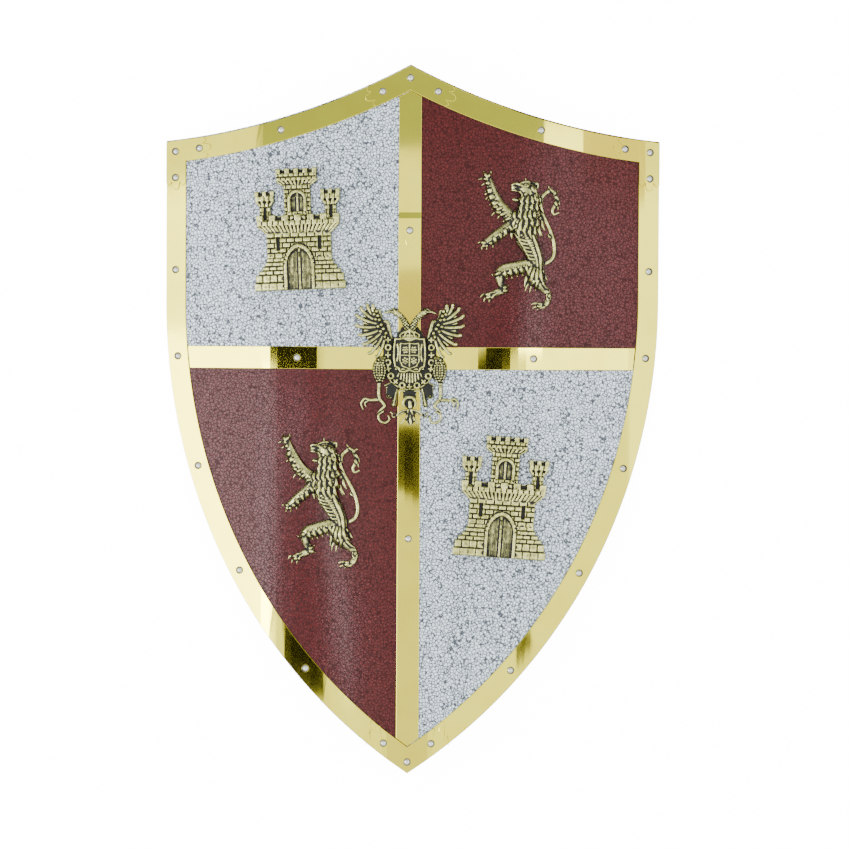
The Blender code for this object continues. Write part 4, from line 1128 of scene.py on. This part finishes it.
def eagle_tail(eagle):
    """Tail feathers, the arch under the cartouche and the ornament below it."""
    for number in range(5):
        start = Vector((10.0 + 0.75 * number, -12.5 - 0.2 * (number - 2)))
        end = Vector((14.0 + 1.55 * number, -24.0 + 1.75 * number))
        middle = (start + end) / 2 - Vector((0, 0.6))
        eagle.strand([(*start, 0.6), (*middle, 0.8), (*end, 0.75)], sink=-0.2)
    eagle.ring(16.8, -25.4, 1.7, 0.75, -0.2, 8)
    eagle.bead(16.8, -25.4, 2.4, 0.8)
    eagle.strand([(11.0, -22.5, 0.5), (12.0, -27.5, 0.7), (13.0, -33.2, 0.6)], sink=-0.2)
    eagle.strand([(0, -21.2, 0.9), (3.6, -21.5, 0.85), (7.2, -21.0, 0.85), (8.2, -23.2, 0.7),
                  (8.0, -25.6, 0.55)], sink=-0.6)
    arch = [(0, -26.4, 1.45), (2.6, -26.9, 1.5), (4.5, -29.2, 1.4), (5.0, -32.0, 1.1), (4.0, -34.4, 0.7)]
    eagle.row(curved(arch), 3.0)
    # The hanging ends lie a little to the right of the middle line
    hang = 0.8 * eagle.side
    for reach, fall in ((3.4, 46.4), (2.2, 49.0)):
        eagle.strand([(0.9, -36.6, 0.7), (reach + hang, -41.5, 0.75), (reach * 0.8 + hang, -fall, 0.6)],
                     sink=-0.3)
    eagle.strand([(2.0, -36.6, 0.8), (6.5, -37.6, 0.9), (10.2, -40.4, 0.7)], sink=-0.3)
    eagle.ring(12.6, -41.0, 1.5, 0.75, -0.3, 9)
    eagle.strand([(14.0, -40.2, 0.7), (15.2, -38.6, 0.7)], sink=0.2)


def outline_strand(eagle, points, radius, height):
    """A raised line along the right half of an outline and its mirror image."""
    eagle.row([(x, y, radius) for x, y in points + mirrored(points)], height)


def eagle_cartouche(eagle):
    """The cartouche's rim, and in it a quartered field with a rosette in each quarter."""
    rim = [(0.6, 19.6), (5.0, 21.4), (8.6, 20.6), (11.6, 20.8), (12.4, 14.0), (12.6, 6.0), (11.6, -1.2),
           (8.8, -2.6), (7.6, -5.4), (3.6, -5.6), (0.6, -4.4)]
    eagle.block(-11.6, 11.6, -4.2, 20.4, 0, 6.2)
    outline_strand(eagle, rim, 0.85, 6.9)
    shield = [(0.2, 17.4), (4.0, 17.0), (7.4, 17.4), (7.6, 10.0), (7.8, 3.0), (5.4, -1.4), (0.2, -3.0)]
    eagle.block(-6.8, 6.8, -1.2, 16.6, 5, 6.9)
    outline_strand(eagle, shield, 0.5, 7.3)
    for side in (-1, 1):
        eagle.row(curved([(side * 9.8, 16.5, 0.4), (side * 9.0, 10.0, 0.55), (side * 10.0, 3.0, 0.4)]), 6.5)
    eagle.row([(0, 16.6, 0.4), (0, -1.6, 0.4)], 7.2)
    eagle.row([(-6.6, 7.6, 0.4), (6.6, 7.6, 0.4)], 7.2)
    for quarter_x in (-3.4, 3.4):
        for quarter_y in (12.0, 3.2):
            for step in range(6):
                turn = 2 * pi * step / 6 + quarter_x * quarter_y
                x, y = quarter_x + 1.7 * cos(turn), quarter_y + 2.1 * sin(turn)
                eagle.bead(x, y, 7.1, 0.62)
            eagle.bead(quarter_x, quarter_y, 7.2, 0.8)


def eagle_crown(eagle):
    """Arches over a cap, with a row of pearls along the foot and a ball on top."""
    for reach in (0.0, 3.4, 6.8):
        for side in (-1, 1):
            foot = side * reach
            eagle.row(curved([(foot * 0.95, 20.8, 0.7), (foot * 1.1, 24.4, 0.75), (0, 28.2, 0.7)]), 6.4)
    eagle.limb([(-4.4, 22.6, 2.4), (0, 23.6, 3.4), (4.4, 22.6, 2.4)])
    for step in range(9):
        x = -6.8 + 1.7 * step
        eagle.bead(x, 21.4 + 0.4 * (step % 2), 7.0, 0.85)
    eagle.bead(0, 28.6, 6.4, 1.1)


def collar_path():
    """The collar's U, from the left shoulder round under the cartouche."""
    straight = [(-17.4, 20.0 - 4.2 * step) for step in range(6)]
    turns = [pi + pi * step / 24 for step in range(25)]
    bowl = [(17.4 * cos(turn), -0.6 + 17.2 * sin(turn)) for turn in turns]
    return straight + bowl + [(-x, y) for x, y in reversed(straight)]


def eagle_collar(eagle):
    """Round and crossed links by turns, with a thin chain and a fringe outside them."""
    path = [Vector((*point, 0)) for point in collar_path()]
    lengths = [0.0]
    for start, end in zip(path, path[1:]):
        lengths.append(lengths[-1] + (end - start).length)
    for link in range(COLLAR_LINKS):
        target = lengths[-1] * link / (COLLAR_LINKS - 1)
        index = max(i for i, length in enumerate(lengths) if length <= target + 1e-6)
        index = min(index, len(path) - 2)
        share = (target - lengths[index]) / (lengths[index + 1] - lengths[index])
        place = path[index].lerp(path[index + 1], share)
        along = (path[index + 1] - path[index]).normalized()
        side = Vector((-along.y, along.x, 0))
        if link % 2:
            for step in range(12):
                turn = 2 * pi * step / 12
                spot = place + LINK_RADIUS * (along * cos(turn) + side * sin(turn))
                eagle.bead(spot.x, spot.y, LINK_HEIGHT, LINK_BEAD)
        else:
            for shift in (along * 0, along * 1.6, along * -1.6, side * 1.7, side * -1.7):
                spot = place + shift
                eagle.bead(spot.x, spot.y, LINK_HEIGHT, LINK_BEAD)
    eagle.row([(point.x * 1.17, point.y * 1.17 + 0.6, 0.6) for point in path[6:31]], 2.4)
    for number in range(9):
        x = -9.6 + 2.4 * number
        eagle.row([(x * 0.9, -7.0, 0.6), (x, -14.6 + 0.055 * x * x, 0.6)], 1.9)


CASTLE_BASE_HALF = 38.5
CASTLE_WALL_HALF = 27.4
CASTLE_PARAPET_HALF = 34.9
# Half the width of the mortar lines between stones
MORTAR = 0.48
# Height given to places that a cut leaves alone
UNCUT = 99.0


def castle_skin():
    """The castle from its foot up, in hundredths of its height from its middle."""
    castle = Casting()
    base, wall, parapet = CASTLE_BASE_HALF, CASTLE_WALL_HALF, CASTLE_PARAPET_HALF
    courses(castle, -base, base, 0, 6.5, 4.6, 1, 6.2)
    courses(castle, -base + 1.2, base - 1.2, 6.6, 13.0, 4.4, 1, 6.2)
    batter(castle, base - 2.0, wall)
    courses(castle, -wall, wall, 26.6, 47.4, 3.6, 5, 7.0)
    corbels(castle, wall, wall + 6.2, 47.2, 53.2, 21)
    courses(castle, -parapet, parapet, 53.0, 57.6, 5.2, 1, 4.6)
    castle.block(-parapet + 0.5, parapet - 0.5, 7.0, 11.2, 0, 2.0)
    castle.block(-16.5, 16.5, 45.0, 49.2, 0, 2.0)
    for left, right in merlon_spans(-parapet, parapet, 7):
        stone(castle, left, right, 57.5, 62.0, 5.1)
    courses(castle, -11.5, 11.5, 57.5, 86.4, 4.2, 8, 4.6)
    corbels(castle, 11.5, 16.6, 86.0, 89.8, 10)
    courses(castle, -17.2, 17.2, 89.6, 96.1, 5.3, 2, 4.2)
    for left, right in merlon_spans(-17.2, 17.2, 5):
        stone(castle, left, right, 96.0, 100.0, 5.2)
    for middle in (-27.6, 27.6):
        turret(castle, middle)
    arch_ring(castle, 20.0, 11.4, 1.9, 5.4, True)
    arch_ring(castle, 74.0, 6.7, 1.7, 5.2, False)
    skin = castle_cuts(castle)
    paint_patina_and_shade(skin, depth=0.14, low=0.8, high=4.2)
    return skin


def stone(castle, left, right, low, high, front):
    """A block whose height is counted from the castle's foot."""
    castle.block(left, right, low - 50, high - 50, 0, front)


def courses(castle, left, right, low, high, front, rows, length):
    """Rows of stones with mortar lines between them over a lower backing."""
    castle.block(left + 0.3, right - 0.3, low - 50.1, high - 49.9, 0, front - 1.0)
    rise = (high - low) / rows
    count = max(1, round((right - left) / length))
    for row in range(rows):
        bottom = low + row * rise
        shift = 0.5 if row % 2 else 0.0
        joints = [left + (right - left) * (step + shift) / count for step in range(count + 1)]
        edges = sorted(edge for edge in [left, *joints, right] if left <= edge <= right)
        for start, end in zip(edges, edges[1:]):
            if end - start < 0.9:
                continue
            wear = 0.12 * sin(3.7 * start + 2.3 * row)
            stone(castle, start + MORTAR, end - MORTAR, bottom + MORTAR, bottom + rise - MORTAR,
                  front + wear)


def batter(castle, low_half, high_half):
    """The foot's concave slope, in courses that step in as they rise."""
    rows = 4
    for row in range(rows):
        share = (row + 0.5) / rows
        half = high_half + (low_half - high_half) * (1 - share) ** 1.7
        low = 13.0 + 13.8 * row / rows
        courses(castle, -half, half, low, low + 13.8 / rows + 0.1, 4.3 - 0.6 * share, 1, 6.4)


def corbels(castle, low_half, high_half, low, high, count):
    """Leaning brackets under a parapet, spreading as they rise."""
    castle.block(-low_half - 0.5, low_half + 0.5, low - 50, high - 50, 0, 3.2)
    steps = 8
    for number in range(count):
        share = 2 * number / (count - 1) - 1
        for step in range(steps):
            rise = step / (steps - 1)
            x = share * (low_half + (high_half - low_half) * rise)
            y = low + (high - low) * rise
            width = 0.24 * (low_half + high_half) / count + 0.2
            castle.block(x - width, x + width, y - 50.5, y - 49.3, 0, 3.5 + 1.4 * rise)


def merlon_spans(left, right, count):
    width = (right - left) / (2 * count - 1)
    return [(left + 2 * number * width, left + (2 * number + 1) * width) for number in range(count)]


def turret(castle, middle):
    courses(castle, middle - 5.0, middle + 5.0, 57.5, 72.6, 3.9, 4, 3.4)
    steps = 4
    for step in range(steps):
        spread = 5.0 + 3.0 * (step + 1) / steps
        low = 70.0 + 0.9 * step
        for share in (-0.85, -0.3, 0.3, 0.85):
            x = middle + share * spread
            castle.block(x - 0.8, x + 0.8, low - 50, low - 48.8, 0, 3.8 + 0.25 * step)
    courses(castle, middle - 8.2, middle + 8.2, 73.4, 78.4, 4.8, 1, 4.2)
    castle.block(middle - 7.6, middle + 7.6, 28.0, 31.4, 0, 2.0)
    for left, right in merlon_spans(middle - 8.2, middle + 8.2, 3):
        stone(castle, left, right, 78.3, 82.0, 4.7)


def arch_ring(castle, spring, half, thickness, front, pointed):
    """Jambs and a row of voussoirs round a door or window."""
    foot = 0.3 if pointed else spring - 10
    for side in (-1, 1):
        rows = 5 if pointed else 3
        for row in range(rows):
            low = foot + (spring - foot) * row / rows
            high = foot + (spring - foot) * (row + 1) / rows
            castle.block(side * half - thickness / 2 - 0.3, side * half + thickness / 2 + 0.3,
                         low - 49.8, high - 50.1, 0, front)
    stones = 14
    for step in range(stones + 1):
        turn = pi * step / stones
        rise = 1.32 if pointed else 1.0
        peak = 1.2 * (1 - abs(cos(turn))) if pointed else 0
        spot = Vector((half * cos(turn), spring - 50 + half * rise * sin(turn) + peak, front / 2))
        size = Matrix.Diagonal((thickness + 0.9, 0.80 * pi * half * rise / stones, front, 1))
        castle.blocks.append(Matrix.Translation(spot) @ Matrix.Rotation(turn, 4, "Z") @ size)


def castle_cuts(castle):
    """Fuse the stones, then sink the door, the window and the slits."""
    mesh = castle.fused(flatness=1.0, voxel=0.38, smoothing=1)
    places = rows_of(mesh.vertices, "co", 3)
    x, y, z = places[:, 0], places[:, 1] + 50, places[:, 2]
    floors = [door_floor(x, y, 10.3, 20.0, 0.3, 1.32, 2.4), door_floor(x, y, 5.6, 74.0, 64.5, 1.0, 2.2)]
    for middle, low, high in ((-17.4, 33, 44), (17.4, 33, 44), (-27.6, 58.5, 69), (27.6, 58.5, 69)):
        floors.append(np.where((abs(x - middle) < 1.5) & (y > low) & (y < high), 1.0, UNCUT))
    places[:, 2] = np.minimum(z, np.minimum.reduce(floors))
    mesh.vertices.foreach_set("co", places.ravel())
    mesh.update()
    return mesh


def door_floor(x, y, half, spring, foot, rise, floor):
    """Height of a planked door inside its arch, and far above everything outside it."""
    over = np.maximum(y - spring, 0) / rise
    inside = (x ** 2 + over ** 2 < half ** 2) & (y > foot)
    planks = floor + 0.35 * np.abs(np.sin(x * 3.0)) ** 0.5 + 0.7 * (np.abs(x) < 0.8)
    return np.where(inside, planks, UNCUT)


# Operators

class BuildSheet(bpy.types.Operator):
    """Build the bowed sheet with its crackle paint"""
    bl_idname = "shield.build_sheet"
    bl_label = "Sheet"

    def execute(self, context):
        bm = flat_plate(heater_outline(), -SHEET_THICKNESS, SHEET_THICKNESS, SHEET_BEVEL)
        for face in bm.faces:
            face.material_index = 0 if face.normal.z > 0.99 else 1
        bend_mesh(bm)
        finished("painted_sheet", bm, [crackle_paint(), bare_steel()], "sheet")
        return {"FINISHED"}


class BuildStrips(bpy.types.Operator):
    """Build the border, the corner plates and the cross from polished strip"""
    bl_idname = "shield.build_strips"
    bl_label = "Brass strips"

    def execute(self, context):
        brass = polished_brass()
        plates = {}
        for node, outline, base in (("top_border", top_strip_outline(), GAP),
                                    ("side_border", side_strip_outline(), GAP),
                                    ("corner_plate", corner_plate_outline(), PLATE_BASE)):
            plates[node + "_right"] = (outline, base)
            plates[node + "_left"] = (mirrored(outline), base)
        plates["apex_plate"] = (apex_plate_outline(), PLATE_BASE)
        plates["tip_plate"] = (tip_plate_outline(), PLATE_BASE)
        plates["apex_strip"] = (apex_strip_outline(), GAP)
        for node, outline in cross_outlines().items():
            plates[node] = (outline, GAP)
        for node, (outline, base) in plates.items():
            bm = flat_plate(outline, base, STRIP_THICKNESS, STRIP_BEVEL)
            if node == "apex_strip":
                step_up(bm)
            bend_mesh(bm)
            finished("brass_" + node, bm, [brass, brass], node)
        return {"FINISHED"}


class BuildRivets(bpy.types.Operator):
    """Build the domed rivets where the frame has them"""
    bl_idname = "shield.build_rivets"
    bl_label = "Rivets"

    def execute(self, context):
        nickel = polished_nickel()
        for node in sorted(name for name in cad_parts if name.startswith("rivet_")):
            low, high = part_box(node)
            seat = (PLATE_TOP if (high - low).z > DEEP_RIVET else STRIP_TOP) + GAP
            middle = (low + high) / 2
            turn = atan2(middle.x, middle.z + edge_drop())
            bm = rivet(seat + SHEET_THICKNESS + 2 * GAP)
            place = bend(turn * sizes().bow_radius, middle.y, seat)
            bm.transform(Matrix.Translation(place) @ Matrix.Rotation(turn, 4, "Y"))
            finished(node + "_domed", bm, [nickel], node)
        return {"FINISHED"}


def rivet(grip):
    """A rivet turned about z, its domed head on z = 0 and its closed tail below."""
    dome = [(HEAD_RADIUS * sin(turn), HEAD_HEIGHT * cos(turn))
            for turn in (pi / 2 * step / DOME_STEPS for step in range(DOME_STEPS))]
    rim = [(HEAD_RADIUS, 0.0002), (HEAD_RADIUS * 0.97, 0)]
    shank = [(SHANK_RADIUS, 0), (SHANK_RADIUS, -grip)]
    tail = [(TAIL_RADIUS * 0.96, -grip), (TAIL_RADIUS, -grip - 0.3 * TAIL_HEIGHT),
            (TAIL_RADIUS * 0.7, -grip - 0.8 * TAIL_HEIGHT), (TAIL_RADIUS * 0.3, -grip - TAIL_HEIGHT),
            (0, -grip - TAIL_HEIGHT)]
    bm = bmesh.new()
    verts = [bm.verts.new((radius, 0, height)) for radius, height in dome + rim + shank + tail]
    edges = [bm.edges.new(pair) for pair in zip(verts, verts[1:])]
    bmesh.ops.spin(bm, geom=verts + edges, axis=(0, 0, 1), cent=(0, 0, 0), angle=2 * pi,
                   steps=RIVET_STEPS, use_merge=True)
    bmesh.ops.remove_doubles(bm, verts=bm.verts, dist=1e-6)
    bmesh.ops.recalc_face_normals(bm, faces=bm.faces)
    for face in bm.faces:
        face.smooth = True
    keep_edges_sharp(bm)
    return bm


class CastCastles(bpy.types.Operator):
    """Cast the two castles"""
    bl_idname = "shield.cast_castles"
    bl_label = "Castles"

    def execute(self, context):
        skin = castle_skin()
        for node, place in (("castle_upper", UPPER_CASTLE), ("castle_lower", LOWER_CASTLE)):
            placed_casting(node, skin, place, CASTLE_HEIGHT, GAP)
        return {"FINISHED"}


class CastLions(bpy.types.Operator):
    """Cast the two lions"""
    bl_idname = "shield.cast_lions"
    bl_label = "Lions"

    def execute(self, context):
        skin = lion_skin()
        for node, place in (("lion_upper", UPPER_LION), ("lion_lower", LOWER_LION)):
            placed_casting(node, skin, place, LION_HEIGHT, GAP)
        return {"FINISHED"}


class CastEagle(bpy.types.Operator):
    """Cast the double-headed eagle"""
    bl_idname = "shield.cast_eagle"
    bl_label = "Eagle"

    def execute(self, context):
        placed_casting("eagle", eagle_skin(), EAGLE_PLACE, EAGLE_HEIGHT, STRIP_TOP + GAP)
        return {"FINISHED"}


# Studio: cards hang where the mirror surfaces look

def oblong(left, right, low, high):
    """The four corners of a level card."""
    return (left, low), (right, low), (right, high), (left, high)


WHITE = (1.0, 1.0, 1.0)
SHADOW = (0.5, 0.5, 0.4)
CARD_HEIGHT = 2.90
CARDS = {
    # corners, rise over the common height, tint, light
    "bright_ceiling": (oblong(-5, 5, -5, 5), 0.06, (1.0, 0.99, 0.90), 2.1),
    "window_left": (((-6.0, -1.60), (-1.72, -0.60), (-1.62, 0.10), (-6.0, 0.10)), 0.04, WHITE, 9.0),
    "window_left_high": (oblong(-6.0, -2.20, 0.10, 0.46), 0.04, WHITE, 4.5),
    "window_right_far": (oblong(2.40, 6.0, -0.90, 0.46), 0.04, WHITE, 3.0),
    "window_edge": (((-1.74, -0.60), (-1.60, -0.60), (-1.56, 0.02), (-1.68, 0.02)), 0.02, WHITE, 20.0),
    "window_right": (oblong(1.05, 2.40, -0.04, 0.54), 0.04, WHITE, 4.2),
    "window_small": (((0.95, 0.06), (1.22, 0.06), (1.26, 0.17), (0.98, 0.17)), 0.02, WHITE, 16.0),
    "window_low": (((-0.76, -0.62), (-0.64, -0.62), (-0.98, -0.16), (-1.08, -0.16)), 0.04, WHITE, 20.0),
    "window_spark": (oblong(-1.40, -1.16, -0.16, -0.03), -0.02, WHITE, 10.0),
    "olive_wall": (oblong(-1.78, 1.24, 0.46, 2.4), 0.02, (0.86, 0.95, 0.78), 0.80),
    "amber_wall": (oblong(1.70, 2.60, 0.40, 0.66), 0.01, (1.0, 0.88, 0.62), 1.6),
    "tan_wall": (oblong(-0.34, 0.08, -0.80, -0.24), 0.02, (1.0, 0.96, 0.84), 1.55),
    "tan_wall_high": (oblong(-0.34, 0.08, -0.08, 0.22), 0.02, (1.0, 0.90, 0.70), 1.25),
    "dark_ground": (oblong(-5, 5, -5, 5), -2.9002, SHADOW, 0.10),
    "dark_left": (((-1.40, -0.66), (-0.95, -0.66), (-1.06, 0.30), (-1.66, 0.30)), 0.0, SHADOW, 0.02),
    "dark_right": (((0.30, -0.15), (0.62, -0.15), (1.25, 0.28), (0.92, 0.28)), 0.0, SHADOW, 0.02),
    "dark_low_right": (((1.07, -0.503), (0.96, -0.53), (0.97, -0.586), (1.145, -0.545)), 0.0, SHADOW, 0.1),
    "dark_camera": (((-0.23, -0.22), (-0.02, -0.25), (-0.02, -0.09), (-0.23, -0.09)), 0.0, SHADOW, 0.02),
}
RING_RADIUS = 4.2
RING_HEIGHT = 2.7
RING_LIGHT = 0.05
SOFTBOX_MIDDLE = (-2.0, 0.5)
SOFTBOX_SIZE = (1.2, 2.2)
SOFTBOX_POWER = 60
WORLD_LIGHT = 2.5


class BuildStudio(bpy.types.Operator):
    """Set up the floor, the cards, the lights and the camera"""
    bl_idname = "shield.build_studio"
    bl_label = "Studio"

    def execute(self, context):
        build_floor()
        for name, (corners, rise, tint, light) in CARDS.items():
            build_card(name, corners, CARD_HEIGHT + rise, tint, light)
        build_ring()
        build_softbox(context.scene)
        build_world(context.scene)
        build_camera(context.scene)
        return {"FINISHED"}


def build_floor():
    """The floor, a hair below the side edges and not seen in the mirror surfaces."""
    bm = bmesh.new()
    bmesh.ops.create_grid(bm, x_segments=8, y_segments=8, size=6.0)
    bmesh.ops.translate(bm, vec=(0, 0, -FLOOR_DROP), verts=bm.verts)
    floor = bpy.data.objects.new("floor", mesh_of("floor", bm))
    floor.data.materials.append(studio_floor())
    floor.visible_glossy = False
    bpy.context.scene.collection.objects.link(floor)


def build_card(name, corners, height, tint, light):
    """A level card that only mirror-like surfaces see."""
    bm = bmesh.new()
    bm.faces.new([bm.verts.new((x, y, height)) for x, y in corners])
    hang_cloth(name, bm, tint, light)


def build_ring():
    """A dark ring round the shield, so that edges and steep sides look dark."""
    bm = bmesh.new()
    bmesh.ops.create_cone(bm, cap_ends=False, segments=48, radius1=RING_RADIUS, radius2=RING_RADIUS,
                          depth=RING_HEIGHT, matrix=Matrix.Translation((0, 0, RING_HEIGHT / 2)))
    hang_cloth("dark_ring", bm, SHADOW, RING_LIGHT)


def hang_cloth(name, bm, tint, light):
    """Make a piece of cloth that only mirror-like surfaces see."""
    cloth = bpy.data.objects.new(name, mesh_of(name, bm))
    cloth.data.materials.append(card_cloth(name, tint, light))
    cloth.visible_camera = False
    cloth.visible_diffuse = False
    cloth.visible_shadow = False
    bpy.context.scene.collection.objects.link(cloth)


def build_softbox(scene):
    lamp = bpy.data.lights.new("softbox_left", "AREA")
    lamp.shape = "RECTANGLE"
    lamp.size, lamp.size_y = SOFTBOX_SIZE
    lamp.energy = SOFTBOX_POWER
    softbox = bpy.data.objects.new("softbox_left", lamp)
    softbox.location = (*SOFTBOX_MIDDLE, CARD_HEIGHT)
    softbox.visible_glossy = False
    scene.collection.objects.link(softbox)


def build_world(scene):
    world = bpy.data.worlds.new("studio")
    world.use_nodes = True
    backdrop = world.node_tree.nodes["Background"]
    backdrop.inputs["Color"].default_value = (*WHITE, 1.0)
    backdrop.inputs["Strength"].default_value = WORLD_LIGHT
    scene.world = world


def build_camera(scene):
    """The camera looks at the crest of the bow, shifted to where the photo has it."""
    turned = (Matrix.Rotation(CAMERA_ROLL, 4, "Z") @ Matrix.Rotation(CAMERA_PITCH, 4, "X")
              @ Matrix.Rotation(-CAMERA_YAW, 4, "Y"))
    crest = Vector((0, 0, sizes().bow_radius - edge_drop()))
    lens = bpy.data.cameras.new("camera")
    lens.sensor_width = SENSOR_WIDTH
    lens.lens = FOCAL_PIXELS / FRAME_PIXELS * SENSOR_WIDTH
    lens.shift_x = (FRAME_PIXELS / 2 - AIM_PIXEL[0]) / FRAME_PIXELS
    lens.shift_y = (AIM_PIXEL[1] - FRAME_PIXELS / 2) / FRAME_PIXELS
    camera = bpy.data.objects.new("camera", lens)
    camera.matrix_world = (Matrix.Translation(crest) @ turned.inverted()
                           @ Matrix.Translation((0, 0, CAMERA_DISTANCE)))
    scene.collection.objects.link(camera)
    scene.camera = camera


BUILDERS = (BuildSheet, BuildStrips, BuildRivets, CastCastles, CastLions, CastEagle, BuildStudio)


class ShieldPanel(bpy.types.Panel):
    """The shield's sizes, colours and builders"""
    bl_idname = "VIEW3D_PT_shield"
    bl_label = "Decorative Shield"
    bl_space_type = "VIEW_3D"
    bl_region_type = "UI"
    bl_category = "Shield"

    def draw(self, context):
        for group in (context.scene.shield_sizes, context.scene.shield_colours):
            for name in type(group).__annotations__:
                self.layout.prop(group, name)
        for builder in BUILDERS:
            self.layout.operator(builder.bl_idname)


CLASSES = (ShieldSizes, ShieldColours, *BUILDERS, ShieldPanel)


def register():
    for made in CLASSES:
        bpy.utils.register_class(made)
    bpy.types.Scene.shield_sizes = PointerProperty(type=ShieldSizes)
    bpy.types.Scene.shield_colours = PointerProperty(type=ShieldColours)


def unregister():
    del bpy.types.Scene.shield_colours
    del bpy.types.Scene.shield_sizes
    for made in reversed(CLASSES):
        bpy.utils.unregister_class(made)


def main():
    register()
    bpy.ops.shield.build_sheet()
    bpy.ops.shield.build_strips()
    bpy.ops.shield.build_rivets()
    bpy.ops.shield.cast_castles()
    bpy.ops.shield.cast_lions()
    bpy.ops.shield.cast_eagle()
    bpy.ops.shield.build_studio()


if __name__ == "__main__":
    main()
